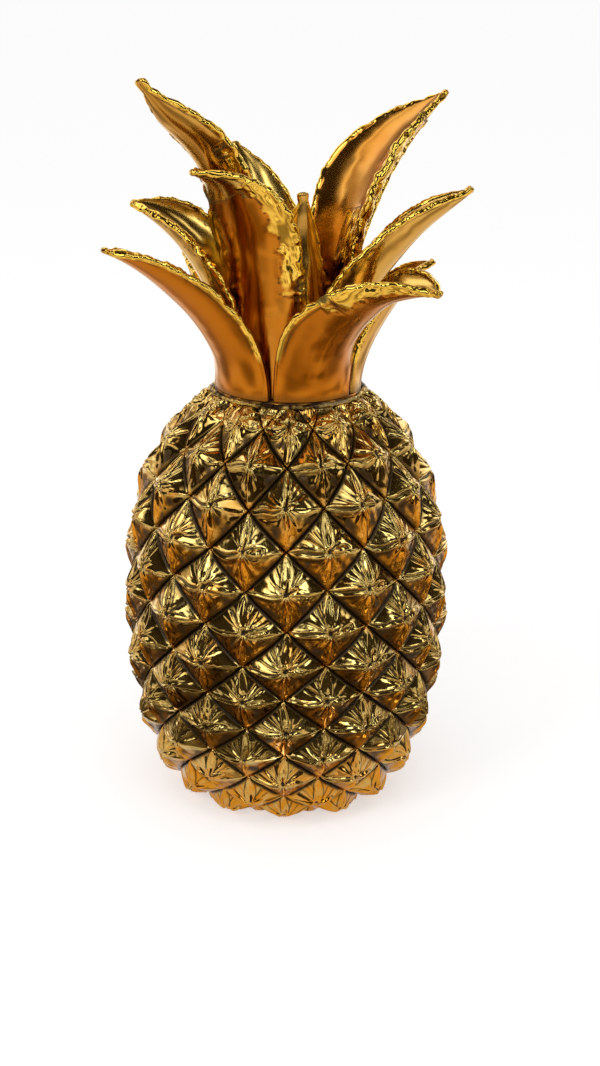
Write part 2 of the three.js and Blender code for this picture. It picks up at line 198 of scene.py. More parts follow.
class CrownSettings(bpy.types.PropertyGroup):
    """Sizes of the crown core, of its leaves and of the seam under them."""
    height: length("Height", "From the seam to the tip of the tallest leaf", 128 * MM)
    reach: length("Reach", "From the axis to the tip of the widest leaf", 88 * MM)
    flange_radius: length("Flange radius", "Radius of the flange on the seam", 30.2 * MM)
    flange: length("Flange", "Thickness of the flange", 1.6 * MM)
    spigot: length("Spigot", "Depth of the spigot in the fruit's neck", 13 * MM)
    stump: length("Stump", "Height of the stump over the seam", 12 * MM)
    bud: length("Bud", "Height of the round bud on the stump", 8 * MM)
    crumple: length("Crumple", "Height of the crushed glaze under the crown", 0.9 * MM)
    bead: length("Bead", "Radius of the bead of clay along the seam", 0.95 * MM)
    bore_radius: length("Bore radius", "Radius of the blind bore in the spigot", 9 * MM)
    bore_depth: length("Bore depth", "Depth of that bore", 18 * MM)
    seat_gap: length("Seat gap", "Glue line between two pieces", 0.3 * MM)
    tier_gap: length("Tier gap", "Room between two tiers at their roots", 0.5 * MM)
    stump_gap: length("Stump gap", "Room between the stump and the inner tier", 1.2 * MM)
    freedom: share("Freedom", "How many times a leaf's room grows once it is free of its root", 1.4)
    free_share: share("Free share", "Share of a leaf over which that room grows", 0.3)
    side_gap: length("Side gap", "Room between two leaves of a tier at their roots", 1.4 * MM)
    leaf_width: length("Leaf width", "Width of a leaf over its channel", 31 * MM)
    wall: length("Wall", "Thickness of a leaf at its root", 3.4 * MM)
    tip_wall: length("Tip wall", "Thickness of a leaf at its tip", 2.2 * MM)
    tip_width: length("Tip width", "Width of a leaf at its tip", 4.4 * MM)
    swell: share("Swell", "Share of its length over which a leaf swells to full width", 0.4)
    taper: share("Taper", "Power of the taper towards the tip", 2.6)
    tip_pull: share("Tip pull", "Pull of the tip's slope on the leaf's line", 0.33)
    tip_round: share("Tip round", "Last share of a leaf that rounds off", 0.016)
    lip_width: length("Lip width", "Width of the crimped band along the edges", 1.5 * MM)
    lip_bulge: length("Lip bulge", "How much thicker the lip is", 0.3 * MM)
    knob: length("Knob", "Height of the knobs along the lip", 0.42 * MM)
    wrinkle: length("Wrinkle", "Height of the wrinkles on the bright bands", 0.6 * MM)
    crimp_depth: length("Crimp depth", "Depth of the crimps across the lip", 0.2 * MM)
    crimp_pitch: length("Crimp pitch", "Distance from one crimp to the next", 3.8 * MM)
    tear_depth: length("Tear depth", "Depth of the nicks in the edge", 0.55 * MM)
    tear_pitch: length("Tear pitch", "Distance from one nick to the next", 7 * MM)
    lump: length("Lump", "Height of the slow dents on the faces", 0.22 * MM)
    stations: count("Stations", "Rings of points along a leaf", 240)
    face_steps: count("Face steps", "Points across each face of a leaf", 34)
    lip_steps: count("Lip steps", "Points round each edge of a leaf", 6)
    bud_steps: count("Bud steps", "Points from the stump to the top of the bud", 24)
    core_steps: count("Core steps", "Points round the crown core", 96)
    seam_steps: count("Seam steps", "Points along the seam", 420)
    bead_steps: count("Bead steps", "Points round the section of the bead", 14)


class PadSettings(bpy.types.PropertyGroup):
    """Sizes of the felt pad under the foot."""
    radius: length("Radius", "Radius of the pad", 33 * MM)
    thickness: length("Thickness", "Thickness of the pad", 2 * MM)
    edge: length("Edge", "Radius of the pad's worn edge", 0.6 * MM)
    edge_steps: count("Edge steps", "Points round the pad's edge", 12)
    face_steps: count("Face steps", "Points from the middle of the pad to its edge", 14)
    around: count("Round steps", "Points round the pad", 160)


class FinishSettings(bpy.types.PropertyGroup):
    """Colours of the plating, of its wash and painted shade, of the luting clay and of the felt."""
    pale_gold: colour("Pale gold", "Plating on the upper facets", (0.62, 0.445, 0.13))
    # Warm gold also paints the warm reflection on the lower facets and on the eyes near the foot.
    warm_gold: colour("Warm gold", "Plating on the lower facets", (0.68, 0.28, 0.018))
    leaf_gold: colour("Leaf gold", "Plating of the paler leaves", (0.60, 0.39, 0.10))
    # Leaf orange paints the warm reflection on the leaves' outer faces.
    leaf_orange: colour("Leaf orange", "Plating of the warmer leaves", (0.47, 0.165, 0.012))
    lip_gold: colour("Lip gold", "Plating on the crimped lips", (0.80, 0.54, 0.09))
    # This dark brown is the wash, and it also paints the painted shade.
    wash_and_shade: colour("Wash", "Dark wash left in the grooves", (0.030, 0.014, 0.004))
    filler: colour("Filler", "Luting clay along the seam", (0.30, 0.24, 0.17))
    felt: colour("Felt", "Felt of the pad", (0.022, 0.020, 0.018))
    lint: colour("Lint", "Grey lint in the felt", (0.09, 0.085, 0.08))
    floor: colour("Floor", "Pale floor", (0.93, 0.93, 0.93))


class StudioSettings(bpy.types.PropertyGroup):
    """Camera, floor and lights."""
    distance: length("Distance", "From the axis to the camera, level", 728 * MM)
    camera_height: length("Camera height", "Height of the camera over the floor", 369.1 * MM)
    pitch: angle("Pitch", "How far the camera looks down", 19.4)
    pan: angle("Pan", "How far the camera looks to the right", 0.45)
    tilt: angle("Tilt", "How far the camera leans", -0.72)
    lens: FloatProperty(name="Lens", description="Focal length for the sensor below",
                        default=61.33, unit="CAMERA")
    sensor: FloatProperty(name="Sensor", description="Width of the camera's sensor",
                          default=36.0, unit="CAMERA")
    near: length("Near", "Nearest distance that the camera shows", 0.05)
    far: length("Far", "Furthest distance that the camera shows", 100.0)
    middle: length("Middle", "Height that the lamps face and the dome is centred on", 0.15)
    floor_reach: length("Floor reach", "Half the side of the floor", 20.0)
    floor_glow: share("Floor glow", "White of its own that the camera sees in the floor", 0.55)
    floor_mirrored: share("Mirrored floor", "White of its own that metal sees in it", 0.4)
    daylight: share("Daylight", "Strength of the plain light from all round", 0.45)
    dome_radius: length("Dome radius", "Radius of the dome that metal mirrors", 1.6)
    shelf_height: length("Shelf height", "Height of the dark ring that the eyes mirror", 0.036)
    apron_height: length("Apron height", "Height of the further floor that metal mirrors", 0.2 * MM)


class OrnamentSettings(bpy.types.PropertyGroup):
    """All settings of the ornament."""
    fruit: PointerProperty(type=FruitSettings)
    eye: PointerProperty(type=EyeSettings)
    crown: PointerProperty(type=CrownSettings)
    pad: PointerProperty(type=PadSettings)
    finish: PointerProperty(type=FinishSettings)
    studio: PointerProperty(type=StudioSettings)


def settings():
    """The settings that the scene keeps."""
    return bpy.context.scene.ornament


def foot_height():
    """Height of the fruit's foot: the pad and its glue line."""
    return settings().pad.thickness + settings().fruit.foot_gap


def seam_height():
    """Height of the seam between fruit and crown: the foot and the fruit."""
    return foot_height() + settings().fruit.height


# Formulas

def smoothstep(x, low, high):
    """0 below low, 1 above high, and 3t^2 - 2t^3 of the share t between them."""
    t = np.clip((x - low) / (high - low), 0, 1)
    return t * t * (3 - 2 * t)


def fade(x, low, high):
    """1 less the smooth step, so 1 below low and 0 above high."""
    return 1 - smoothstep(x, low, high)


def window(x, opens, closes):
    """A smooth step up over the span opens times a smooth step down over the span closes."""
    return smoothstep(x, *opens) * fade(x, *closes)


def hump(x, width):
    """A bell: e to the minus square of x over width."""
    return np.exp(-np.square(x / width))


def mix(a, b, t):
    """a at t = 0, b at t = 1, and straight between them."""
    return a + (b - a) * t


def stack(*parts):
    """Places from their coordinates, each a number or an array, spread to one shape."""
    return np.stack(np.broadcast_arrays(*parts), axis=-1)


def round_axis(radius, turn, height):
    """The place at a radius, a turn from the front towards +X, and a height."""
    return stack(radius * np.sin(turn), -radius * np.cos(turn), height)


WAVE_LENGTHS = (0.7, 1.4)


def waves(points, size, seed, number=10):
    """Smooth noise, mostly within -1 to 1: a sum of sine waves about size long that run in random
    directions, divided by the root of their number."""
    rng = np.random.default_rng(seed)
    heading = rng.normal(size=(number, points.shape[-1]))
    heading /= np.linalg.norm(heading, axis=1, keepdims=True)
    heading *= TAU / (size * rng.uniform(*WAVE_LENGTHS, (number, 1)))
    phase = rng.uniform(0, TAU, number)
    total = sum(np.sin(points @ heading[i] + phase[i]) for i in range(number))
    return total / math.sqrt(number)


# Meshes

def ring_faces(rings, around):
    """Quads between rings of points that are counted the same way round, ring by ring."""
    ring, step = np.meshgrid(np.arange(rings - 1), np.arange(around), indexing="ij")
    here = ring * around + step
    beside = ring * around + (step + 1) % around
    return np.stack([here, beside, beside + around, here + around], axis=-1).reshape(-1, 4)


def cap_faces(pole, first, around, outward):
    """Triangles from a pole to the ring that starts at first."""
    step = np.arange(around)
    here = first + step
    beside = first + (step + 1) % around
    pole = np.full(around, pole)
    return np.stack([pole, here, beside] if outward else [pole, beside, here], axis=-1)


def new_piece(name, points, quads, material, triangles=NO_TRIANGLES, attributes=None):
    """A smooth-shaded mesh object at the origin from whole arrays, with one number per point for
    each attribute."""
    mesh = bpy.data.meshes.new(name)
    points = np.ascontiguousarray(points.reshape(-1, 3), np.float32)
    if not np.isfinite(points).all():
        raise RuntimeError(f"{name} has points that can't be placed")
    mesh.vertices.add(len(points))
    mesh.vertices.foreach_set("co", points.ravel())
    corners = np.concatenate([quads.ravel(), triangles.ravel()]).astype(np.int32)
    starts = np.concatenate([np.arange(len(quads)) * 4,
                             quads.size + np.arange(len(triangles)) * 3]).astype(np.int32)
    mesh.loops.add(len(corners))
    mesh.loops.foreach_set("vertex_index", corners)
    mesh.polygons.add(len(starts))
    mesh.polygons.foreach_set("loop_start", starts)
    mesh.update(calc_edges=True)
    if mesh.validate():
        raise RuntimeError(f"{name} has faces that can't be made")
    mesh.shade_smooth()
    for label, values in (attributes or {}).items():
        numbers = mesh.attributes.new(label, "FLOAT", "POINT")
        numbers.data.foreach_set("value", np.ascontiguousarray(values, np.float32).ravel())
    mesh.materials.append(material)
    piece = bpy.data.objects.new(name, mesh)
    bpy.context.scene.collection.objects.link(piece)
    return piece


def capped(name, skin, poles, material, attributes):
    """A closed piece: rings of points, each a row of skin, and a fan to a pole at either end. Each
    attribute has one number per point of the skin and then one for either pole."""
    rings, around = skin.shape[:2]
    points = np.concatenate([skin.reshape(-1, 3), poles])
    first = rings * around
    caps = np.concatenate([cap_faces(first, 0, around, False),
                           cap_faces(first + 1, first - around, around, True)])
    return new_piece(name, points, ring_faces(rings, around), material, caps, attributes)


def turned(name, profile, around, material, attributes):
    """A closed body turned about the axis from (radius, height) points that run up the outside and
    start and end on the axis. The first and last points become poles. An attribute is one number,
    or a function of the points."""
    profile = np.asarray(profile, float)
    turn = np.arange(around) / around * TAU
    skin = round_axis(profile[1:-1, :1], turn, profile[1:-1, 1:])
    poles = np.array([(0, 0, profile[0, 1]), (0, 0, profile[-1, 1])])
    points = np.concatenate([skin.reshape(-1, 3), poles])
    values = {label: value(points) if callable(value) else np.full(len(points), value)
              for label, value in attributes.items()}
    return capped(name, skin, poles, material, values)


def dress(piece, slot, *nodes):
    """The piece rides with the body and stands for the nodes. slot is not used."""
    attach(piece, "root")
    if nodes:
        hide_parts(*nodes)


# Shader nodes

def new_finish(name):
    """A new material with its node tree and its Principled shader."""
    material = bpy.data.materials.new(name)
    material.use_nodes = True
    return material, material.node_tree, material.node_tree.nodes["Principled BSDF"]


def bare_finish(name):
    """A new material with an empty node tree."""
    material = bpy.data.materials.new(name)
    material.use_nodes = True
    material.node_tree.nodes.clear()
    return material, material.node_tree


def wire(tree, value, socket):
    """Links an output to the socket, or sets the socket to a plain value."""
    if isinstance(value, bpy.types.NodeSocket):
        tree.links.new(value, socket)
    elif hasattr(value, "__len__") and len(value) == 3:
        socket.default_value = (*value, 1.0) if socket.type == "RGBA" else tuple(value)
    else:
        socket.default_value = value


def wire_all(tree, node, values):
    """Wires each value to the node's input of that name or number."""
    for label, value in values.items():
        wire(tree, value, node.inputs[label])


def reckon(tree, operation, *values):
    """A Math node of the values."""
    node = tree.nodes.new("ShaderNodeMath")
    node.operation = operation
    wire_all(tree, node, dict(enumerate(values)))
    return node.outputs[0]


def remap(tree, value, span, to=(0.0, 1.0)):
    """The value's way over the span carried over to the way between to's ends, smooth and
    clamped."""
    node = tree.nodes.new("ShaderNodeMapRange")
    node.interpolation_type = "SMOOTHSTEP"
    wire_all(tree, node, dict(enumerate((value, *span, *to))))
    return node.outputs[0]


def blend_colours(tree, factor, first, second):
    """The first colour at a factor of 0, the second at 1, and straight between them."""
    node = tree.nodes.new("ShaderNodeMix")
    node.data_type = "RGBA"
    colour_sockets = [socket for socket in node.inputs if socket.type == "RGBA"]
    wire(tree, factor, node.inputs[0])
    wire(tree, first, colour_sockets[0])
    wire(tree, second, colour_sockets[1])
    return next(socket for socket in node.outputs if socket.type == "RGBA")


def noise(tree, size, detail=3.0, roughness=0.55):
    """Noise on Object coordinates with features about size long."""
    node = tree.nodes.new("ShaderNodeTexNoise")
    wire_all(tree, node, {
        "Vector": tree.nodes.new("ShaderNodeTexCoord").outputs["Object"],
        "Scale": 1 / size, "Detail": detail, "Roughness": roughness,
    })
    return node.outputs["Fac"]


def layer(tree, name):
    """A piece's own number per point."""
    node = tree.nodes.new("ShaderNodeAttribute")
    node.attribute_name = name
    return node.outputs["Fac"]


def bump(tree, height, distance, normal=None):
    """The normal tilted by a height, 0 to 1 of the distance, on top of another such normal."""
    node = tree.nodes.new("ShaderNodeBump")
    wire_all(tree, node, {"Distance": distance, "Height": height})
    if normal is not None:
        wire(tree, normal, node.inputs["Normal"])
    return node.outputs["Normal"]


# Finishes. Sizes of their patterns, and the values over which each of their tones comes in.
GILT_SPECULAR = 0.25

EYE_CLOUD = 9 * MM
EYE_CLOUD_STAIN = 0.3
EYE_GRAIN = 0.9 * MM
EYE_GRAIN_HEIGHT = 0.012 * MM
EYE_DENTS = 6 * MM
EYE_DENT_HEIGHT = 0.1 * MM
EYE_WARM = (0.6, 1.4)
EYE_BLUSH = 8 * MM
EYE_BLUSH_SPAN = (0.52, 0.72)
EYE_BLUSH_WARMTH = (0.0, 0.6)
EYE_DARKENING_SPAN = (0.2, 1.1)
EYE_METAL_WASH_AND_SHADE = (0.7, 1.0)
EYE_METAL = (1.0, 0.35)
EYE_DULL_WASH_AND_SHADE = (0.6, 1.0)
EYE_DULL = (0.0, 0.25)
EYE_POLISH = 0.06
EYE_GRAIN_DULL = 0.1
VARNISH_WARM = (0.3, 1.0)
VARNISH_BY_WARM = (0.5, 0.05)
VARNISH_WASH_AND_SHADE = (0.0, 0.6)
VARNISH_BY_WASH_AND_SHADE = (1.0, 0.1)
VARNISH_ROUGHNESS = 0.08


def antique_gold():
    """Plating over the eyes: pale above, and warm below, where it paints a warm reflection, with
    orange blushes, under a varnish that is thin where it is warm, and dull brown where the wash and
    the painted shade lie."""
    finish = settings().finish
    material, tree, shader = new_finish("antique_gold")
    cloud = noise(tree, EYE_CLOUD)
    grain = noise(tree, EYE_GRAIN, detail=2.0)
    warm = remap(tree, reckon(tree, "ADD", layer(tree, "warm"), cloud), EYE_WARM)
    blush = remap(tree, noise(tree, EYE_BLUSH, detail=2.0), EYE_BLUSH_SPAN, EYE_BLUSH_WARMTH)
    warm = reckon(tree, "MAXIMUM", warm, blush)
    plated = blend_colours(tree, warm, finish.pale_gold, finish.warm_gold)
    darkening = reckon(tree, "MULTIPLY_ADD", cloud, EYE_CLOUD_STAIN, layer(tree, "wash_and_shade"))
    wash_and_shade = remap(tree, darkening, EYE_DARKENING_SPAN)
    dull = reckon(tree, "MULTIPLY_ADD", grain, EYE_GRAIN_DULL,
                  remap(tree, wash_and_shade, EYE_DULL_WASH_AND_SHADE, EYE_DULL))
    dents = bump(tree, noise(tree, EYE_DENTS, detail=1.0), EYE_DENT_HEIGHT)
    wire_all(tree, shader, {
        "Base Color": blend_colours(tree, wash_and_shade, plated, finish.wash_and_shade),
        "Metallic": remap(tree, wash_and_shade, EYE_METAL_WASH_AND_SHADE, EYE_METAL),
        "Roughness": reckon(tree, "ADD", dull, EYE_POLISH),
        "Specular IOR Level": GILT_SPECULAR,
        "Coat Weight": reckon(tree, "MULTIPLY", remap(tree, warm, VARNISH_WARM, VARNISH_BY_WARM),
                              remap(tree, wash_and_shade, VARNISH_WASH_AND_SHADE, VARNISH_BY_WASH_AND_SHADE)),
        "Coat Roughness": VARNISH_ROUGHNESS,
        "Normal": bump(tree, grain, EYE_GRAIN_HEIGHT, dents),
    })
    return material


LEAF_CLOUD = 16 * MM
LEAF_CLOUD_WARMTH = 0.5
LEAF_WARM = (0.2, 1.2)
LEAF_CRACKLE = 1.1 * MM
LEAF_CRACKLE_ROUGHNESS = 0.65
LEAF_CRACKLE_HEIGHT = 0.01 * MM
LEAF_CRACKLE_YELLOW = 0.2
LEAF_YELLOW = (0.4, 0.75)
LEAF_DARKENING_SPAN = (0.15, 0.9)
LEAF_METAL = (1.0, 0.4)
LEAF_DULL = (0.1, 0.35)
LEAF_SATIN = 0.08
LEAF_DENTS = 11 * MM
LEAF_DENT_HEIGHT = 0.35 * MM


def bright_gold():
    """Mirror plating of the crown: leaf tone set by warmth, which paints a warm reflection on the
    outer faces, yellow broken lips that are glossier than the faces, and darkening in the pits, with
    painted shade at the roots and under the lips and painted reflection edges at the patches."""
    finish = settings().finish
    material, tree, shader = new_finish("bright_gold")
    cloud = noise(tree, LEAF_CLOUD)
    crackle = noise(tree, LEAF_CRACKLE, detail=4.0, roughness=LEAF_CRACKLE_ROUGHNESS)
    lip = layer(tree, "lip")
    tone = reckon(tree, "MULTIPLY_ADD", cloud, LEAF_CLOUD_WARMTH, layer(tree, "warm"))
    face = blend_colours(tree, remap(tree, tone, LEAF_WARM), finish.leaf_gold, finish.leaf_orange)
    yellow = remap(tree, reckon(tree, "MULTIPLY_ADD", crackle, LEAF_CRACKLE_YELLOW, lip), LEAF_YELLOW)
    plated = blend_colours(tree, yellow, face, finish.lip_gold)
    wash_and_shade = remap(tree, layer(tree, "wash_and_shade"), LEAF_DARKENING_SPAN)
    satin = reckon(tree, "MULTIPLY", reckon(tree, "SUBTRACT", 1.0, yellow), LEAF_SATIN)
    dents = bump(tree, noise(tree, LEAF_DENTS, detail=1.0), LEAF_DENT_HEIGHT)
    wire_all(tree, shader, {
        "Base Color": blend_colours(tree, wash_and_shade, plated, finish.wash_and_shade),
        "Metallic": remap(tree, wash_and_shade, FULL_RANGE, LEAF_METAL),
        "Roughness": reckon(tree, "ADD", remap(tree, wash_and_shade, FULL_RANGE, LEAF_DULL), satin),
        "Specular IOR Level": GILT_SPECULAR,
        "Normal": bump(tree, reckon(tree, "MULTIPLY", lip, crackle), LEAF_CRACKLE_HEIGHT, dents),
    })
    return material


CLAY_CLOUD = 6 * MM
CLAY_GOLD = (0.38, 0.58)
CLAY_METAL = (0.9, 0.1)
CLAY_GRAIN = 1.2 * MM
CLAY_GRAIN_SPAN = (0.3, 0.7)
CLAY_GRAIN_HEIGHT = 0.2 * MM
CLAY_DULL = (0.2, 0.5)


def luting_clay():
    """Filler along the seam: brown wash over gold with pale grey smears."""
    finish = settings().finish
    material, tree, shader = new_finish("luting_clay")
    smear = layer(tree, "smear")
    grain = noise(tree, CLAY_GRAIN)
    gold = remap(tree, noise(tree, CLAY_CLOUD), CLAY_GOLD)
    washed = blend_colours(tree, gold, finish.wash_and_shade, finish.pale_gold)
    wire_all(tree, shader, {
        "Base Color": blend_colours(tree, smear, washed, finish.filler),
        "Metallic": remap(tree, smear, FULL_RANGE, CLAY_METAL),
        "Roughness": remap(tree, grain, CLAY_GRAIN_SPAN, CLAY_DULL),
        "Normal": bump(tree, grain, CLAY_GRAIN_HEIGHT),
    })
    return material


FELT_FIBRE = 0.5 * MM
FELT_FIBRE_ROUGHNESS = 0.7
FELT_FIBRE_HEIGHT = 0.3 * MM
FELT_LINT = 2.5 * MM
FELT_LINT_SPAN = (0.55, 0.75)
FELT_LINT_SHARE = (0.0, 0.35)
FELT_ROUGHNESS = 0.95
FELT_SHEEN = 0.3


def pad_felt():
    """Short black felt: fibres a few tenths of a millimetre long, with grey lint."""
    finish = settings().finish
    material, tree, shader = new_finish("pad_felt")
    fibre = noise(tree, FELT_FIBRE, detail=5.0, roughness=FELT_FIBRE_ROUGHNESS)
    lint = remap(tree, noise(tree, FELT_LINT), FELT_LINT_SPAN, FELT_LINT_SHARE)
    wire_all(tree, shader, {
        "Base Color": blend_colours(tree, lint, finish.felt, finish.lint),
        "Roughness": FELT_ROUGHNESS,
        "Sheen Weight": FELT_SHEEN,
        "Normal": bump(tree, fibre, FELT_FIBRE_HEIGHT),
    })
    return material


# The fruit's lattice. Columns and rows count half diamonds.
KNOT_STEPS = 40
MEASURED_ROWS = (1.4, 1.5)
SWAY_CIRCLE = 3
SWAY_ROW = 0.9
SWAY_SIZE = 2.6
SWAY_WAVES = 6


def groove_line():
    """The groove line as a table of length shares, (radius, height) points and unit tangents: a
    uniform Catmull-Rom curve through the outline points, which ends at the rim of the foot."""
    fruit = settings().fruit
    foot = foot_height()
    knots = np.array(OUTLINE_SHARES) * (fruit.radius, fruit.height) + (0, foot)
    knots = np.vstack([knots, (fruit.foot_radius, foot)])
    padded = np.vstack([knots[:1], knots, knots[-1:]])
    t = np.linspace(0, 1, KNOT_STEPS, endpoint=False)[:, None]
    spans = []
    for before, start, end, after in zip(padded, padded[1:], padded[2:], padded[3:]):
        leave = (end - before) / 2
        arrive = (after - start) / 2
        spans.append((2 * start - 2 * end + leave + arrive) * t ** 3
                     + (3 * end - 3 * start - 2 * leave - arrive) * t ** 2 + leave * t + start)
    line = np.vstack([*spans, knots[-1:]])
    covered = travelled(line)
    tangent = np.gradient(line, covered, axis=0)
    tangent /= np.linalg.norm(tangent, axis=1, keepdims=True)
    return covered, line, tangent


def travelled(line):
    """The way along a line of points up to each of them: the running sum of their distances."""
    return np.concatenate([[0], np.cumsum(np.linalg.norm(np.diff(line, axis=0), axis=1))])


def on_fruit(row, column, lift):
    """A point of the fruit's skin: the groove line at the row, moved out along its normal by lift
    and turned by the column. Past its ends the line runs straight on towards the axis. Everything
    is cut flat at the seam and at the foot."""
    fruit = settings().fruit
    covered, line, tangent = groove_line()
    x = row / fruit.rows
    along = x * (1 + fruit.crowding * (1 - x * x))
    whole = covered[-1]
    at = np.clip(along, 0, 1) * whole
    out = -np.interp(at, covered, tangent[:, 1])
    up = np.interp(at, covered, tangent[:, 0])
    before = np.minimum(along, 0) * whole
    after = np.maximum(along - 1, 0) * whole
    radius = np.interp(at, covered, line[:, 0]) + before * tangent[0, 0] - after
    height = np.interp(at, covered, line[:, 1]) + before * tangent[0, 1]
    radius = np.maximum(radius + out * lift, 0)
    height = np.clip(height + up * lift, foot_height(), seam_height())
    return round_axis(radius, column * math.pi / fruit.eyes, height)


def swayed(row, column):
    """The lattice wanders a little: slow waves that close round the ring shift rows and columns."""
    fruit = settings().fruit
    turn = column * math.pi / fruit.eyes
    place = stack(SWAY_CIRCLE * np.cos(turn), SWAY_CIRCLE * np.sin(turn), row * SWAY_ROW)
    shift_row = fruit.sway * waves(place, SWAY_SIZE, SEED + 1, SWAY_WAVES)
    shift_column = fruit.sway * waves(place, SWAY_SIZE, SEED + 2, SWAY_WAVES)
    return row + shift_row, column + shift_column


def eye_size(ring):
    """Half width and half height of an eye of the ring, along the skin. Those that the seam or the
    foot cuts are measured a little further in."""
    fruit = settings().fruit
    middle = min(max(ring, MEASURED_ROWS[0]), fruit.rows - MEASURED_ROWS[1])
    near = on_fruit(np.array([middle - 0.5, middle, middle + 0.5]), 0.0, 0.0)
    tall = np.linalg.norm(np.diff(near, axis=0), axis=1).sum()
    return -near[1, 1] * math.pi / fruit.eyes, tall


# How the eyes of a ring differ: the range from which each of their numbers is drawn
EYE_VARIES = {
    "middle": (-0.5 * MM, 0.5 * MM), "phase": (0, TAU), "size": (0.8, 1.2),
    "bend_x": (1.6 * MM, 3.0 * MM), "bend_y": (1.8 * MM, 3.2 * MM), "bluntness": (0.94, 1.1),
    "slant_rate": (2, 4), "pleat_start": (0.3, 0.7), "flame_place": (-0.3 * MM, 0.3 * MM),
    "slit_place": (-0.1 * MM, 0.7 * MM), "slit_share": (-0.5, 1.3), "top_lip": (0.1 * MM, 0.5 * MM),
    "sag": (0.4, 1.4), "under_lip": (1.0 * MM, 1.6 * MM), "almond_lean": np.radians((-4, 16)),
    "almond_share": (-0.3, 1.3), "almond_length": (0.7, 1.15), "almond_width": (0.7, 1.4),
    "tail": (0.6, 1.3), "curl": (0.4 * MM, 0.6 * MM), "fold_start": (-0.8, 0.8),
    "fold_depth": (0.7, 1.2), "cloud_place": (0, 1), "blot_place": (2, 3),
    "glow_width": (1.6 * MM, 2.8 * MM), "rise": (0.93, 1.0),
}

# Grid of a ring's eyes. x and y are the place on the skin from the middle of the eye, with y up,
# and far and turn the same place in polar form. reach is the share of the way from the middle to
# the rim, and lower is 1 on the lower facets. soften is less than 1 near the foot, and vary draws a
# number for each eye.
EyeGrid = namedtuple("EyeGrid", "x y far turn reach lower half_width half_height soften vary")
USUAL_HALF_HEIGHT = 12.5 * MM
BEND = 0.35 * MM
SOFT_ROWS = (10, 13)
SOFT_SHARES = (1.0, 0.6)
LOWER_HALF = (0.0, 0.25)
CLOSE_BY = 1e-9


def eye_grid(ring, reach, down, x, y, rng):
    """The grid of a ring's eyes: places moved and bent by slow sines of each other, and scaled so
    that an eye of any ring has the relief of a usual one."""
    fruit = settings().fruit

    def vary(name):
        return rng.uniform(*EYE_VARIES[name], (fruit.eyes, 1, 1))

    half_width, half_height = eye_size(ring)
    wide = half_width / (fruit.radius * math.pi / fruit.eyes)
    tall = half_height / USUAL_HALF_HEIGHT
    x = (x - vary("middle") * (1 - reach)) / wide
    y = (y - vary("middle") * (1 - reach)) / tall
    x = x + BEND * np.sin(y / vary("bend_x") + vary("phase"))
    y = y + BEND * np.sin(x / vary("bend_y") + vary("phase"))
    soften = mix(*SOFT_SHARES, smoothstep(np.float64(ring), *SOFT_ROWS))
    return EyeGrid(x, y, np.hypot(x, y) + CLOSE_BY, np.arctan2(y, x), reach,
                   smoothstep(down, *LOWER_HALF), half_width / wide, half_height / tall, soften, vary)


PLEAT_FIRST = np.radians((8, 24))
PLEAT_LAST = np.radians((160, 172))
PLEAT_RIM = (0.8, 0.97)
PLEAT_START = (1.4 * MM, 3.2 * MM)
PLEAT_FLAME = (1.2 * MM, 2.4 * MM)
PLEAT_SLANT = math.radians(6)
PLEAT_BEAT = 2.4
PLEAT_WIDTHS = (0.13, 0.24)
PLEAT_ROUND = 0.35
PLEAT_SIDES = (0.8, 1.15)
PLEAT_DEPTHS = (0.1, 1.15)
PLEAT_DARK = 0.8
PLEAT_DARK_SPAN = (0.1, 0.5)
PLEAT_DARKS = (0.2, 1.0)


def pleats(at):
    """Pleats on the upper facets: sharp valleys, each a bell of the angle round the middle from the
    nearest whole count of pitches. How deep, wide and dark each is goes by a sine of its count."""
    eye = settings().eye
    above = window(at.turn, PLEAT_FIRST, PLEAT_LAST)
    pleated = above * fade(at.reach, *PLEAT_RIM) * smoothstep(at.far, *PLEAT_START) \
        * smoothstep(np.abs(at.x), *PLEAT_FLAME)
    slant = at.turn + PLEAT_SLANT * np.sin(at.turn * at.vary("slant_rate") + at.vary("phase"))
    counted = (slant - math.pi / 2) / eye.pleat_pitch + at.vary("pleat_start")
    valley = np.abs(counted - np.round(counted))
    choice = 0.5 + 0.5 * np.sin(np.round(counted) * PLEAT_BEAT + at.vary("phase"))
    pleat = 1 - hump(valley, mix(*PLEAT_WIDTHS, choice)) + PLEAT_ROUND * (valley - 0.5)
    depth = eye.pleat_depth * at.soften * mix(*PLEAT_SIDES, smoothstep(-at.x, -MM, MM)) \
        * mix(*PLEAT_DEPTHS, choice) * at.vary("size")
    darkening = PLEAT_DARK * pleated * fade(pleat, *PLEAT_DARK_SPAN) * mix(*PLEAT_DARKS, choice)
    return -depth * pleated * (1 - pleat), darkening


FLAME_POWER = 0.8
FLAME_START = (1.6 * MM, 3.0 * MM)
FLAME_END = (0.86, 0.99)
FLAME_LIP_WIDTH = 0.38 * MM
FLAME_SINK = 1.2
FLAME_SINK_SPAN = (0.0, 0.9 * MM)
FLAME_DARK = 0.8
FLAME_DARK_PLACE = 0.75 * MM
FLAME_DARK_WIDTH = 0.4 * MM


def flame(at):
    """A sunken flame on the upper ridge: its half width is a sine of the way up to a power, and two
    lips bound it."""
    eye = settings().eye
    up_share = np.clip(at.y / at.half_height, 0, 1)
    half = eye.flame_width * np.sin(math.pi * up_share ** FLAME_POWER) ** FLAME_POWER \
        * at.vary("size")
    on_flame = smoothstep(at.y, *FLAME_START) * fade(up_share, *FLAME_END)
    edge = np.abs(at.x + at.vary("flame_place")) - half
    sunk = FLAME_SINK * smoothstep(-edge, *FLAME_SINK_SPAN)
    relief = on_flame * eye.flame_lip * (hump(edge, FLAME_LIP_WIDTH) - sunk)
    return relief, FLAME_DARK * on_flame * hump(edge - FLAME_DARK_PLACE, FLAME_DARK_WIDTH)


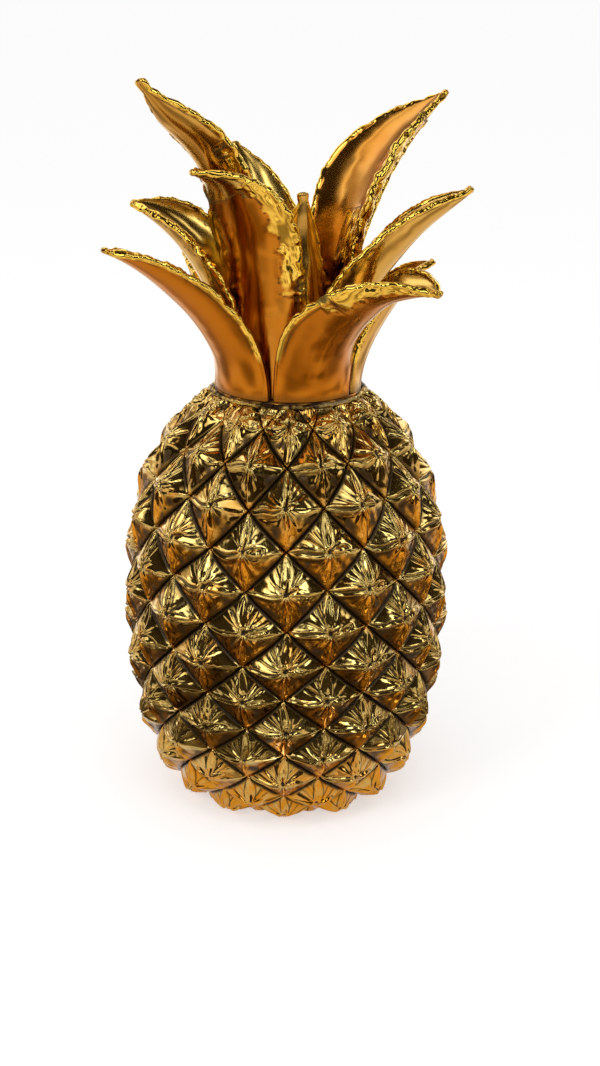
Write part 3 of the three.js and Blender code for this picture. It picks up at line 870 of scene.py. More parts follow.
SLIT_LEAN = 0.08
SLIT_START = (0.2 * MM, 1.0 * MM)
SLIT_END = (0.5, 1.0)
SLIT_DARK = (0.3, 0.7)


def slit(at):
    """A slit over the middle, a bell across a leaning line. Some eyes have a shallow one or none."""
    eye = settings().eye
    beside = at.x - at.vary("slit_place") - SLIT_LEAN * at.y
    cut = hump(beside, eye.slit_width * at.vary("size")) \
        * window(at.y, SLIT_START, np.multiply(SLIT_END, eye.slit_height)) \
        * np.clip(at.vary("slit_share"), 0, 1)
    return -eye.slit_depth * cut, smoothstep(cut, *SLIT_DARK)


LENS_POWERS = (0.9, 0.85)
RIDGE_START = (0.06, 0.16)
RIDGE_END = (0.93, 1.0)
RIDGE_SIDE = (0.4 * MM, 1.6 * MM)


def side_ridge(at, side):
    """A lens along the side ridges, a sine of the share of the way out to a power, with that share
    and with 1 on the ridge of one side, -1 for the left and 1 for the right."""
    side_share = np.clip(np.abs(at.x) / at.half_width, 0, 1)
    lens = np.sin(math.pi * side_share ** LENS_POWERS[0]) ** LENS_POWERS[1]
    ridge = smoothstep(side * at.x, *RIDGE_SIDE) * window(side_share, RIDGE_START, RIDGE_END)
    return side_share, lens, ridge


SWAG_SAG = 0.25 * MM
SWAG_TOP_WIDTH = 0.36 * MM
SWAG_LOW_WIDTH = 0.5 * MM
SWAG_LOW_SHARE = 1.25
SWAG_SINK = 0.8
SWAG_SINK_SPAN = (0.3 * MM, 1.4 * MM)
SWAG_DARK = 0.75
SWAG_DARK_SPAN = (0.4, 0.95)
UNDER_WIDTH = 0.4 * MM
UNDER_END = (0.5, 0.8)
UNDER_DEPTH = 0.5
UNDER_SHADOW = 0.6


def swag(at):
    """A hollow on the left ridge between an upper lip and one that sags by the lens, with a fine
    crease under it."""
    eye = settings().eye
    side_share, lens, left = side_ridge(at, -1)
    top_lip = at.y - at.vary("top_lip")
    sag = eye.swag_drop * lens * at.vary("sag") + SWAG_SAG
    low_lip = at.y + sag
    hollow = np.sin(math.pi * np.clip(-top_lip / sag, 0, 1))
    crease = hump(low_lip + at.vary("under_lip"), UNDER_WIDTH) * left * fade(side_share, *UNDER_END)
    lips = hump(top_lip, SWAG_TOP_WIDTH) + SWAG_LOW_SHARE * hump(low_lip, SWAG_LOW_WIDTH)
    relief = left * eye.swag_lip * (lips - SWAG_SINK * smoothstep(-low_lip, *SWAG_SINK_SPAN)) \
        - left * eye.swag_depth * at.soften * hollow - UNDER_DEPTH * eye.swag_lip * crease
    darkening = SWAG_DARK * left * smoothstep(hollow, *SWAG_DARK_SPAN)
    # The crease under the lower lip carries a painted shadow line.
    return relief, np.maximum(darkening, UNDER_SHADOW * crease)


ALMOND_TOP = (0.5, 1.1)
ALMOND_MOAT = 0.8
ALMOND_MOAT_PLACE = 1.3
ALMOND_MOAT_WIDTH = 0.25
ALMOND_DARK = 0.7
ALMOND_DARK_PLACE = 1.35
ALMOND_DARK_WIDTH = 0.2


def almond(at):
    """An almond on the right ridge: a smooth step down over a leaning oval, and a moat round it."""
    eye = settings().eye
    lean = at.vary("almond_lean")
    puffed = np.clip(at.vary("almond_share"), 0, 1)
    out = at.x - eye.almond_place
    along = out * np.cos(lean) + at.y * np.sin(lean)
    beside = at.y * np.cos(lean) - out * np.sin(lean)
    oval = np.hypot(along / (eye.almond_length * at.vary("almond_length")),
                    beside / (eye.almond_width * at.vary("almond_width")))
    moat = ALMOND_MOAT * hump(oval - ALMOND_MOAT_PLACE, ALMOND_MOAT_WIDTH)
    darkening = ALMOND_DARK * puffed * hump(oval - ALMOND_DARK_PLACE, ALMOND_DARK_WIDTH)
    return puffed * eye.almond_lip * (fade(oval, *ALMOND_TOP) - moat), darkening


TAIL_SAG = 0.9 * MM
TAIL_SHARES = (0.3, 1.0)
TAIL_WIDTH = 0.4 * MM
TAIL_DARK = 0.7
TAIL_DARK_PLACE = 0.8 * MM
TAIL_DARK_WIDTH = 0.35 * MM


def tail(at):
    """A lip that sags by the lens along the right ridge and is higher past the almond."""
    eye = settings().eye
    lens, right = side_ridge(at, 1)[1:]
    below = at.y + TAIL_SAG * lens * at.vary("tail")
    past = smoothstep(at.x, eye.almond_place, eye.almond_place + eye.almond_length)
    relief = right * eye.swag_lip * mix(*TAIL_SHARES, past) * hump(below, TAIL_WIDTH)
    return relief, TAIL_DARK * right * past * hump(below - TAIL_DARK_PLACE, TAIL_DARK_WIDTH)


CURL_ROOT = 0.25 * MM
CURL_LIFT = 0.2 * MM
CURL_START = (0.3 * MM, 0.9 * MM)
CURL_END = (3.5 * MM, 5.5 * MM)
CURL_WIDTH = 0.4 * MM
CURL_MOAT = 0.9
CURL_MOAT_PLACE = 0.75 * MM
CURL_MOAT_WIDTH = 0.35 * MM
CURL_DARK = 0.9
CURL_DARK_WIDTH = 0.36 * MM


def curled_lip(at):
    """A curled lip right of the middle: a bell about a root curve, with a moat under it."""
    eye = settings().eye
    over = at.y - at.vary("curl") * np.sqrt(np.maximum(at.x, 0) / CURL_ROOT) - CURL_LIFT
    on_curl = window(at.x, CURL_START, CURL_END)
    under = over + CURL_MOAT_PLACE
    relief = on_curl * eye.swag_lip * (hump(over, CURL_WIDTH)
                                       - CURL_MOAT * hump(under, CURL_MOAT_WIDTH))
    return relief, CURL_DARK * on_curl * hump(under, CURL_DARK_WIDTH)


FOLD_FIRST = np.radians((28, 62))
FOLD_LAST = np.radians((118, 152))
FOLD_START = (1.0 * MM, 2.2 * MM)
FOLD_FAR = (4.0 * MM, 8.0 * MM)
FOLD_FAR_SHARES = (1.0, 0.45)
FOLD_RIM = (0.75, 0.95)
FOLD_LEVEL = 0.3
FOLD_DARK = 0.7
FOLD_DARK_SPAN = (0.2, 0.9)


def folds(at):
    """Soft folds on the lower facets, a cosine of the angle round the middle."""
    eye = settings().eye
    fold = np.cos(TAU * (at.turn + math.pi / 2) / eye.fold_pitch + at.vary("fold_start"))
    folded = window(-at.turn, FOLD_FIRST, FOLD_LAST) * smoothstep(at.far, *FOLD_START) \
        * mix(*FOLD_FAR_SHARES, smoothstep(at.far, *FOLD_FAR)) * fade(at.reach, *FOLD_RIM)
    relief = eye.fold_depth * at.vary("fold_depth") * folded * (fold - FOLD_LEVEL)
    return relief, FOLD_DARK * folded * smoothstep(-fold, *FOLD_DARK_SPAN)


KEEL_SWAY = 0.4 * MM
KEEL_SWAY_LENGTH = 2.2 * MM
KEEL_WIDTH = 0.55 * MM
KEEL_START = (2.0 * MM, 4.0 * MM)
KEEL_RIM = (0.85, 1.0)


def keel(at):
    """A ridge down the middle of the lower facets: a bell about a slow sine of the way down."""
    sway = KEEL_SWAY * np.sin(at.y / KEEL_SWAY_LENGTH + at.vary("phase"))
    ridge = hump(at.x + sway, KEEL_WIDTH) * smoothstep(-at.y, *KEEL_START)
    return settings().eye.keel * ridge * fade(at.reach, *KEEL_RIM), np.zeros_like(at.x)


DIMPLE_DARK = (0.35, 0.8)
DIP_DEPTH = 0.5 * MM
DIP_RADIUS = 3.2 * MM


def dimple(at):
    """A deep bell in the middle of the eye within a wide shallow one."""
    eye = settings().eye
    pucker = hump(at.far, eye.pucker_radius * at.vary("size"))
    relief = -eye.pucker_depth * pucker - DIP_DEPTH * hump(at.far, DIP_RADIUS)
    return relief, smoothstep(pucker, *DIMPLE_DARK)


OVERLAP_SPAN = (0.7, 1.0)


def rim(at):
    """The upper edges roll down into the groove, and the lower ones stand over the eyes below."""
    eye = settings().eye
    roll = smoothstep(at.reach, 1 - eye.groove_share, 1.0)
    relief = -eye.groove_depth * roll * roll * (1 - at.lower) \
        + eye.overlap * at.lower * smoothstep(at.reach, *OVERLAP_SPAN)
    return relief, np.zeros_like(at.x)


# In the order in which they draw their random numbers
EYE_FEATURES = (pleats, flame, slit, swag, almond, tail, curled_lip, folds, keel, dimple, rim)

RIDGE_BARE = 0.85
RIDGE_WIDTH = 1.3 * MM
FOOT_ROWS = (9.5, 12.5)
FOOT_BARE = 0.5
FOOT_WARMTHS = (0.6, 1.0)
SHADE = 0.62
SHADE_SPAN = (0.55, 0.95)
CORNER_SPAN = (0.15, 0.5)
CORNER_SHADES = (0.35, 0.8)
CLOUD_SIZE = 5 * MM
CLOUD_SPAN = (-0.6, 0.8)
BLOT_SIZE = 3.4 * MM
BLOT_SPAN = (-0.9, 0.9)
BLOT_SEED = SEED + 60
GLOW_SWAY = 0.8 * MM
GLOW_SWAY_LENGTH = 1.7 * MM
GLOW_BARE = 0.9
LOWER_SHADES = (0.45, 0.82)
TOP_ROW_SHADE_ROWS = (2.5, 5.0)
TOP_ROW_SHADES = (0.4, 0.75)
TOP_ROW_SHADE_SPAN = (0.1, 0.35)
TOP_ROW_SHADE_GLOW = 0.6
GROOVE_DARK = 0.9
GROOVE_SPAN = (0.76, 0.95)
GROOVE_SHARES = (1.0, 0.8)
WARM_SPAN = (0.02, 0.3)
WARM_ROWS = (1.5, 4.0)
WARM_SHARES = (0.5, 1.0)
WARM_CLOUD = (0.8, 1.0)


def eye_plating(ring, at):
    """Painted shade and warmth of a ring's eyes. The grooves are dark, and painted shade grows
    towards the rim and lies in clouds on the lower facets and in blots at their corners. It is thin
    on the ridges, which it leaves as painted highlights, near the foot, and in a wavy glow down the
    middle of the lower facets, a painted reflection. Those facets are darkest in the upper rings.
    Warmth, a painted warm reflection, covers those facets, and all of the eyes near the foot."""
    row = np.float64(ring)
    foot = smoothstep(row, *FOOT_ROWS)
    off_ridge = 1 - RIDGE_BARE * hump(np.minimum(np.abs(at.x), np.abs(at.y)), RIDGE_WIDTH)
    cloud = smoothstep(waves(stack(at.x, at.y, at.vary("cloud_place")), CLOUD_SIZE, SEED + ring),
                       *CLOUD_SPAN)
    blot = smoothstep(waves(stack(at.x, at.y, at.vary("blot_place")), BLOT_SIZE, BLOT_SEED + ring),
                      *BLOT_SPAN)
    sway = GLOW_SWAY * np.sin(at.y / GLOW_SWAY_LENGTH + at.vary("phase"))
    glow = hump(at.x + sway, at.vary("glow_width"))
    corner = smoothstep(np.abs(at.x) / at.half_width, *CORNER_SPAN) * at.lower
    # Painted shade: towards the rim, at the lower corners and on the lower facets, thinner on the ridges.
    shade = SHADE * smoothstep(at.reach, *SHADE_SPAN) * off_ridge
    shade = np.maximum(shade, corner * mix(*CORNER_SHADES, blot))
    shade = np.maximum(shade, at.lower * mix(*LOWER_SHADES, cloud)) * (1 - GLOW_BARE * glow * at.lower)
    # More painted shade on the lower facets of the upper rings.
    dull = at.lower * fade(row, *TOP_ROW_SHADE_ROWS) * mix(*TOP_ROW_SHADES, cloud)
    shade = np.maximum(shade, dull * smoothstep(at.reach, *TOP_ROW_SHADE_SPAN) * (1 - TOP_ROW_SHADE_GLOW * glow))
    groove = smoothstep(at.reach, *GROOVE_SPAN) * off_ridge * mix(*GROOVE_SHARES, at.lower)
    wash_and_shade = np.maximum(shade * (1 - FOOT_BARE * foot), GROOVE_DARK * groove)
    # Painted warm reflection on the lower facets and on the eyes near the foot.
    warm = smoothstep(-at.y / at.half_height, *WARM_SPAN) * mix(*WARM_CLOUD, cloud) \
        * mix(*WARM_SHARES, smoothstep(row, *WARM_ROWS))
    return wash_and_shade, np.maximum(warm, mix(*FOOT_WARMTHS, cloud) * foot)


TOP_RING_SHARE = 0.35


def eye_relief(ring, reach, down, x, y, rng):
    """Height of the eyes of a ring over the groove line, with their darkening, partly painted shade,
    and their warmth, a painted warm reflection. down is the share towards the lower corner. The
    facets are 1 minus reach to a power that grows downwards, so the lower ones are rounder. The
    features' heights are added to them, and the darkest of their dark marks is kept. The eyes just
    below the seam stand up less."""
    fruit, eye = settings().fruit, settings().eye
    at = eye_grid(ring, reach, down, x, y, rng)
    power = (eye.bluntness + eye.roundness * np.maximum(down, 0)) * at.vary("bluntness")
    features = [feature(at) for feature in EYE_FEATURES]
    wash_and_shade, warm = eye_plating(ring, at)
    wash_and_shade = np.maximum.reduce([wash_and_shade, *(darkening for relief, darkening in features)])
    relief = sum(relief for relief, darkening in features)
    up_share = min(1.0, ring / (fruit.rows * fruit.fade)) if ring else TOP_RING_SHARE
    lift = up_share * (eye.rise * at.vary("rise") * (1 - reach ** power) + relief)
    return lift, wash_and_shade, warm


CRUMPLE_START = 13 * MM
CRUMPLE_FULL = 1 * MM
CRUMPLE_SQUEEZE = (1, 1, 0.6)
CRUMPLE_SIZE = 8 * MM
CRUMPLE_FINE_SIZE = 3.8 * MM
CRUMPLE_WAVES = 8
CRUMPLE_LEVEL = 0.45
CRUMPLE_FINE_SHARE = 0.45
CRUMPLE_BARE = 0.75
CRUMPLE_DARK = 0.6
CRUMPLE_DARK_SPAN = (0.0, 0.5 * MM)


def crumple(skin):
    """Crushed glaze close under the crown: folded noise, 1 minus the size of slow waves, that grows
    over the last stretch below the seam."""
    seam = seam_height()
    depth = settings().crown.crumple
    near = smoothstep(skin[..., 2], seam - CRUMPLE_START, seam - CRUMPLE_FULL)
    squeezed = skin * CRUMPLE_SQUEEZE
    ridge = 1 - np.abs(waves(squeezed, CRUMPLE_SIZE, SEED + 11, CRUMPLE_WAVES))
    fine = 1 - np.abs(waves(squeezed, CRUMPLE_FINE_SIZE, SEED + 12, CRUMPLE_WAVES))
    folded = ridge - CRUMPLE_LEVEL + CRUMPLE_FINE_SHARE * (fine - CRUMPLE_LEVEL)
    return near, near * depth * folded


REACH_POWER = 1.12
EDGE_SHARE = 0.985
HAMMER_SIZE = 2.4 * MM
HAMMER_SLOW_SIZE = 6 * MM
HAMMER_SLOW_SHARE = 2
HAMMER_RIM = (0.8, 1.0)
POLE_DROP = 0.1 * MM
POLE_WARMTH = 0.5


def eye_rim():
    """The rim of an eye as (row, column) places from its middle: four straight edges, the upper
    ones divided more finely."""
    eye = settings().eye
    corners = np.array([(-1, 0), (0, 1), (1, 0), (0, -1), (-1, 0)], float)
    edges = (eye.upper_steps, eye.lower_steps, eye.lower_steps, eye.upper_steps)
    return np.concatenate([mix(corners[edge], corners[edge + 1], (np.arange(steps) / steps)[:, None])
                           for edge, steps in enumerate(edges)])


def eye_ring(ring, material):
    """A ring of closed bosses. Each has a pole in its middle, rings of points that widen to its
    rim, and a skirt that closes to a pole below. The middle is at an odd sum of row and column.
    Crushed glaze and two sizes of hammer marks, both waves, lie on the relief."""
    fruit, eye = settings().fruit, settings().eye
    rng = np.random.default_rng(SEED * 100 + ring)
    rim_places = eye_rim()
    around = len(rim_places)
    half_width, half_height = eye_size(ring)
    reach = (np.arange(1, eye.rings + 1) / eye.rings) ** REACH_POWER
    reach = reach[None, :, None] * np.ones((fruit.eyes, 1, around))
    d_row, d_column = (reach * rim_places[:, way] for way in (0, 1))
    lift, wash_and_shade, warm = eye_relief(ring, reach, d_row, d_column * half_width, -d_row * half_height, rng)

    columns = 2 * np.arange(fruit.eyes)[:, None, None] + (ring + 1) % 2
    row, column = swayed(ring + EDGE_SHARE * d_row, columns + EDGE_SHARE * d_column)
    skin = on_fruit(row, column, lift)
    near, crushed = crumple(skin)
    hammered = waves(skin, HAMMER_SIZE, SEED + 3) \
        + HAMMER_SLOW_SHARE * waves(skin, HAMMER_SLOW_SIZE, SEED + 4)
    lift = lift + crushed + eye.hammer * hammered * fade(reach, *HAMMER_RIM)
    wash_and_shade = wash_and_shade * (1 - CRUMPLE_BARE * near) \
        + CRUMPLE_DARK * near * smoothstep(-crushed, *CRUMPLE_DARK_SPAN)
    skin = on_fruit(row, column, lift)
    skirt = on_fruit(row[:, -1:], column[:, -1:], -eye.skirt)
    middle = swayed(ring + 0.0 * columns, columns + 0.0)
    top = on_fruit(*middle, lift[:, :1].mean(axis=2, keepdims=True) - POLE_DROP)
    bottom = on_fruit(*middle, -eye.skirt)

    points = np.concatenate([part.reshape(fruit.eyes, -1, 3) for part in (skin, skirt, top, bottom)],
                            axis=1)
    rings = eye.rings + 1
    one = rings * around + 2
    caps = np.concatenate([cap_faces(one - 2, 0, around, False),
                           cap_faces(one - 1, (rings - 1) * around, around, True)])
    offsets = (np.arange(fruit.eyes) * one)[:, None, None]

    def per_point(values, below):
        """The skin's values, then the one below for the skirt and its pole, and 1 for the top."""
        hidden = np.full((fruit.eyes, around + 2), below)
        hidden[:, around] = 1.0
        return np.concatenate([values.reshape(fruit.eyes, -1), hidden], axis=1)

    piece = new_piece(f"eye_ring_{ring:02d}", points, (ring_faces(rings, around) + offsets).reshape(-1, 4),
                      material, (caps + offsets).reshape(-1, 3),
                      {"wash_and_shade": per_point(wash_and_shade, 1.0), "warm": per_point(warm, POLE_WARMTH)})
    dress(piece, "antique_gold_glaze", "fruit_shell")


BODY_ROWS = 90
BODY_TOP_ROW = 0.6
CUT_MARGIN = 0.01 * MM
VENT_CAP_RISE = 0.5 * MM
CAVITY_FLOOR_RISE = 0.6 * MM
CAVITY_FLOOR_SHARE = 2


def fruit_body(material):
    """The wall under the eyes, a little below the groove line, with the neck, the cavity and the
    vent, as one turned body. Its profile is cut by the two planes of the seam and the foot."""
    fruit = settings().fruit
    foot = foot_height()
    seam = seam_height()
    floor = foot + fruit.wall
    rows = np.linspace(fruit.rows, BODY_TOP_ROW, BODY_ROWS)

    def profile_at(steps, depth):
        """(radius, height) points of the groove line moved in by the depth."""
        line = on_fruit(steps, 0.0, -depth)
        return np.stack([-line[:, 1], line[:, 2]], axis=1)

    inside = profile_at(rows[::-1], fruit.wall)
    inside = inside[(inside[:, 1] < seam - fruit.neck_depth) & (inside[:, 0] > fruit.neck_radius)]
    inside = inside[inside[:, 1] > floor]
    outside = profile_at(rows, fruit.body_depth)
    outside = outside[(outside[:, 1] < seam - CUT_MARGIN) & (outside[:, 1] > foot + CUT_MARGIN)]
    vent = [(0, floor + VENT_CAP_RISE), (fruit.vent_radius, floor), (fruit.vent_radius, foot)]
    neck = [(fruit.neck_radius, seam), (fruit.neck_radius, seam - fruit.neck_depth)]
    cavity = [(fruit.vent_radius * CAVITY_FLOOR_SHARE, floor), (0, floor + CAVITY_FLOOR_RISE)]
    profile = [*vent, (outside[0, 0], foot), *outside, (outside[-1, 0], seam), *neck, *inside, *cavity]
    # The body is dark all over and shows only in the grooves, as darkening that is partly painted shade.
    return turned("fruit_body", profile, fruit.around, material, {"wash_and_shade": 1.0, "warm": POLE_WARMTH})


class ORNAMENT_OT_fruit(bpy.types.Operator):
    """Build the fruit: its cast body and the rings of pleated eyes"""
    bl_idname = "ornament.fruit"
    bl_label = "Fruit"

    def execute(self, context):
        material = antique_gold()
        dress(fruit_body(material), "antique_gold_glaze", "fruit_shell")
        for ring in range(settings().fruit.rows + 1):
            eye_ring(ring, material)
        return {"FINISHED"}


# The crown

def tier_radius(tier):
    """Radius of the middle of the leaf wall at the root of a tier, the outer one flush with the
    flange."""
    crown = settings().crown
    return crown.flange_radius - crown.wall / 2 - tier * (crown.wall + crown.tier_gap)


def leaf_root():
    """Height of the leaves' roots: the flange on the seam with a glue line under and over it."""
    crown = settings().crown
    return seam_height() + crown.flange + 2 * crown.seat_gap


def leaf_line(leaf, along):
    """A leaf's line: a cubic Bezier curve in radius and height that leaves the root upright and
    reaches the tip at its slope, while the turn eases from the root's to the tip's."""
    crown = settings().crown
    root = np.array([tier_radius(leaf.tier), leaf_root()])
    tip = np.array([leaf.reach * crown.reach, seam_height() + leaf.height * crown.height])
    slope = math.radians(leaf.tip_rise)
    pull = crown.tip_pull * np.linalg.norm(tip - root)
    climb = np.array([root[0], root[1] + leaf.climb * (tip[1] - root[1])])
    turn_in = tip - pull * np.array([math.cos(slope), math.sin(slope)])
    t = along[:, None]
    side = root * (1 - t) ** 3 + 3 * climb * t * (1 - t) ** 2 + 3 * turn_in * t * t * (1 - t) + tip * t ** 3
    turn = np.radians(mix(leaf.root_turn, leaf.tip_turn, smoothstep(along, 0, 1)))
    return round_axis(side[:, 0], turn, side[:, 1]), turn


def leaf_frames(leaf, along):
    """The line with its forward, across and outward directions. across is level, square to forward,
    and rolled about it towards the tip."""
    line, turn = leaf_line(leaf, along)
    forward = np.gradient(line, along, axis=0)
    forward /= np.linalg.norm(forward, axis=1, keepdims=True)
    across = stack(np.cos(turn), np.sin(turn), 0.0)
    across = across - forward * (across * forward).sum(axis=1, keepdims=True)
    across /= np.linalg.norm(across, axis=1, keepdims=True)
    roll = (math.radians(leaf.roll) * along)[:, None]
    across = across * np.cos(roll) + np.cross(forward, across) * np.sin(roll)
    return line, forward, across, np.cross(across, forward)


TIP_END_SHARE = 0.08


def leaf_section(leaf, along, line_radius):
    """Radius of the channel, half its angle and the wall, along the leaf. Its half width swells
    from the root's share of the ring, then tapers by a power, and is never wider than its room.
    The last stretch rounds off as a quarter of an oval."""
    crown = settings().crown
    root_radius = tier_radius(leaf.tier)
    root_curl = math.pi / TIER_COUNTS[leaf.tier] - crown.side_gap / 2 / root_radius
    swell = smoothstep(along, 0, crown.swell)
    taper = 1 - np.maximum(0, (along - crown.swell) / (1 - crown.swell)) ** crown.taper
    free = mix(root_radius * math.sin(root_curl), leaf.width * crown.leaf_width / 2, swell)
    freedom = mix(1, crown.freedom, smoothstep(along, 0, crown.free_share))
    room = line_radius * np.sin(root_curl * freedom)
    rounded = 1 - np.maximum(0, (along - 1 + crown.tip_round) / crown.tip_round) ** 2
    rounded = mix(TIP_END_SHARE, 1, np.sqrt(np.clip(rounded, 0, 1)))
    half = np.maximum(crown.tip_width / 2, np.minimum(free, room) * taper) * rounded
    curl = mix(root_curl, math.radians(leaf.curl), swell)
    bend = half / np.sin(curl)
    return bend, curl, np.minimum(mix(crown.wall, crown.tip_wall, along) * rounded, bend)


FACE_POWER = 1.35


def leaf_outline():
    """Places round a leaf's section: side, from -1 to 1 across the channel, lean, which is 1 on the
    outer face, -1 on the inner one and a cosine round the edges, and bulge, the sine to it."""
    crown = settings().crown
    face = np.linspace(-1, 1, crown.face_steps)
    face = np.sign(face) * (1 - (1 - np.abs(face)) ** FACE_POWER)
    edge = np.linspace(0, math.pi, crown.lip_steps + 2)[1:-1]
    flat = np.full(len(face), 1.0)
    side = np.concatenate([face, 0 * edge + 1, face[::-1], 0 * edge - 1])
    lean = np.concatenate([flat, np.cos(edge), -flat, -np.cos(edge)])
    bulge = np.concatenate([0 * flat, np.sin(edge), 0 * flat, -np.sin(edge)])
    return side, lean, bulge


def leaf_patches(leaf, along, across):
    """How much of the bright band and of the painted pale reflection there is at a share of the
    length and a place across, from 0 to 1: each patch is a product of smooth steps at its four
    borders."""
    found = {"band": 0 * (along + across), "bare": 0 * (along + across)}
    for name, kind, start, end, left, right in PATCHES:
        if name == leaf.name:
            inside = window(along, (start, start + PATCH_SOFT_ALONG), (end - PATCH_SOFT_ALONG, end)) \
                * window(across, (left, left + PATCH_SOFT_ACROSS), (right - PATCH_SOFT_ACROSS, right))
            found[kind] = np.maximum(found[kind], inside)
    return found["band"], found["bare"]


# Waves on the leaves: the stream of random numbers and the length of each. Lengths of the nicks
# come from the settings.
LEAF_STREAMS = {"nick": 50, "small_nick": 60}
LEAF_WAVES = {
    "crimp_drift": (70, 9 * MM), "crimp_beat": (80, 6 * MM), "rough": (89, 16 * MM),
    "knob": (90, 5 * MM), "wrinkle": (93, 9 * MM), "fine_wrinkle": (94, 4 * MM),
    "dent": (95, 22 * MM), "ragged": (97, 9 * MM), "finely_ragged": (98, 3 * MM),
}

# Grid of a leaf's skin. along and run are the share of its length and the way along it, side, lean
# and bulge the places round its section, and to_edge the way to the nearest edge. place is where
# the waves are read, and free is 1 where the leaf has left its root and less at its tip.
LeafGrid = namedtuple("LeafGrid", "leaf order along run side lean bulge bend curl wall to_edge"
                                  " lip_width place free lip")
PLACE_ACROSS = 4 * MM
FREE_START = (0.12, 0.3)
FREE_TIP = (0.93, 1.0)
FREE_TIP_LOSS = 0.5
LIP_SOFT_SHARE = 0.35


def leaf_grid(leaf, order, along, line):
    """The grid of a leaf. The lip is 1 near the edges, up to its width, and starts past the root."""
    crown = settings().crown
    section = leaf_section(leaf, along, np.hypot(line[:, 0], line[:, 1]))
    bend, curl, wall, run, along = (values[:, None] for values in (*section, travelled(line), along))
    side, lean, bulge = leaf_outline()
    to_edge = (1 - np.abs(side)) * curl * bend
    lip_width = crown.lip_width * leaf.lip
    free = smoothstep(along, *FREE_START) * (1 - FREE_TIP_LOSS * smoothstep(along, *FREE_TIP))
    lip = free * fade(to_edge, LIP_SOFT_SHARE * lip_width, lip_width)
    place = stack(run, PLACE_ACROSS * side, 0.0)
    return LeafGrid(leaf, order, along, run, side, lean, bulge, bend, curl, wall, to_edge,
                    lip_width, place, free, lip)


def leaf_waves(at, name, place=None):
    """The named waves, at the grid's own places or at others."""
    stream, size = LEAF_WAVES[name]
    return waves(at.place if place is None else place, size, SEED * stream + at.order)


SMALL_NICK_SHARE = 0.5
SMALL_NICK_PITCH = 2.4
NICK_LEVEL = 0.25
NICK_START = (0.15, 0.4)
CRIMP_DRIFT = 1.3 * MM
CRIMP_SLANT = 0.35 / MM
CRIMP_REACH = 0.9
CRIMP_BEAT = (0.6, 0.4)
KNOB_START = (0.2, 0.5)
KNOB_SPAN = (-0.9, 0.6)
KNOB_SHARES = (0.3, 1.0)


def leaf_edge(at):
    """The lip of a leaf: tear, how torn its edge is, pull, how far nicks draw the edge in, crimp, a
    sine of the way along, thick, how much thicker the lip is, and knob, the height of its knobs.
    Nicks are the size of waves and of finer ones, and knobs are waves that come and go."""
    crown = settings().crown
    pitches = {"nick": crown.tear_pitch, "small_nick": crown.tear_pitch / SMALL_NICK_PITCH}
    nick, small_nick = (np.abs(waves(at.place, pitches[name], SEED * stream + at.order))
                        for name, stream in LEAF_STREAMS.items())
    tear = nick + SMALL_NICK_SHARE * small_nick
    pull = at.free * crown.tear_depth * (tear - NICK_LEVEL) * fade(at.to_edge, 0, at.lip_width) \
        * smoothstep(at.along, *NICK_START)
    drift = CRIMP_DRIFT * leaf_waves(at, "crimp_drift")
    phase = TAU * (at.run + drift) / crown.crimp_pitch + CRIMP_SLANT * at.to_edge
    crimp = np.sin(phase) * hump(at.to_edge, CRIMP_REACH * at.lip_width)
    beat = CRIMP_BEAT[0] + CRIMP_BEAT[1] * leaf_waves(at, "crimp_beat")
    thick = at.free * (crown.lip_bulge * at.lip + crown.crimp_depth * crimp * beat)
    rough = smoothstep(at.along, *KNOB_START) \
        * mix(*KNOB_SHARES, smoothstep(leaf_waves(at, "rough"), *KNOB_SPAN))
    return tear, pull, crimp, thick, rough * crown.knob * at.lip * leaf_waves(at, "knob")


RAGGED = 0.04
FINELY_RAGGED = 0.015
RAGGED_ACROSS = 2
WRINKLE_SPREAD = (0.55, 1.6)
FINE_WRINKLES = 0.45
DENT_SPREAD = (1, 1.6, 1)


def leaf_faces(at):
    """The band and the painted pale reflection with ragged borders, the folds of the band, which are
    two sizes of waves, and the dents of the faces: slow waves, and those folds where the band is."""
    crown = settings().crown
    ragged = RAGGED * leaf_waves(at, "ragged") + FINELY_RAGGED * leaf_waves(at, "finely_ragged")
    band, bare = leaf_patches(at.leaf, at.along + ragged, at.side + RAGGED_ACROSS * ragged)
    spread = stack(WRINKLE_SPREAD[0] * at.run, WRINKLE_SPREAD[1] * at.bend * at.curl * at.side, 0.0)
    crushed = leaf_waves(at, "wrinkle", spread) + FINE_WRINKLES * leaf_waves(at, "fine_wrinkle", spread)
    dents = crown.lump * leaf_waves(at, "dent", at.place * DENT_SPREAD) * (1 - at.lip) \
        + crown.wrinkle * band * crushed
    return band, bare, crushed, dents


OUTER_SPAN = (-0.5, 0.5)
CRIMP_DARK = 0.3
CRIMP_DARK_SPAN = (0.35, 0.9)
CRIMP_EDGE_SPAN = (-1.0 * MM, 0.6 * MM)
TEAR_DARK = 0.28
TEAR_DARK_SPAN = (1.0, 1.6)
ROOT_SHADE = 0.5
ROOT_REACH = 7 * MM
BORDER_REFLECTION_EDGE = 0.75
BORDER_PLACE = 0.35
BORDER_WIDTH = 0.22
BORDER_SPAN = (0.02, 0.2)
LIP_SHADOW_LINE = 0.75
LIP_LINE_PLACE = 1.15
LIP_LINE_WIDTH = 0.3 * MM
BAND_FOLD_DARK = 0.6
BAND_FOLD_DARK_SPAN = (1.1, 1.8)
BAND_YELLOW = 0.6


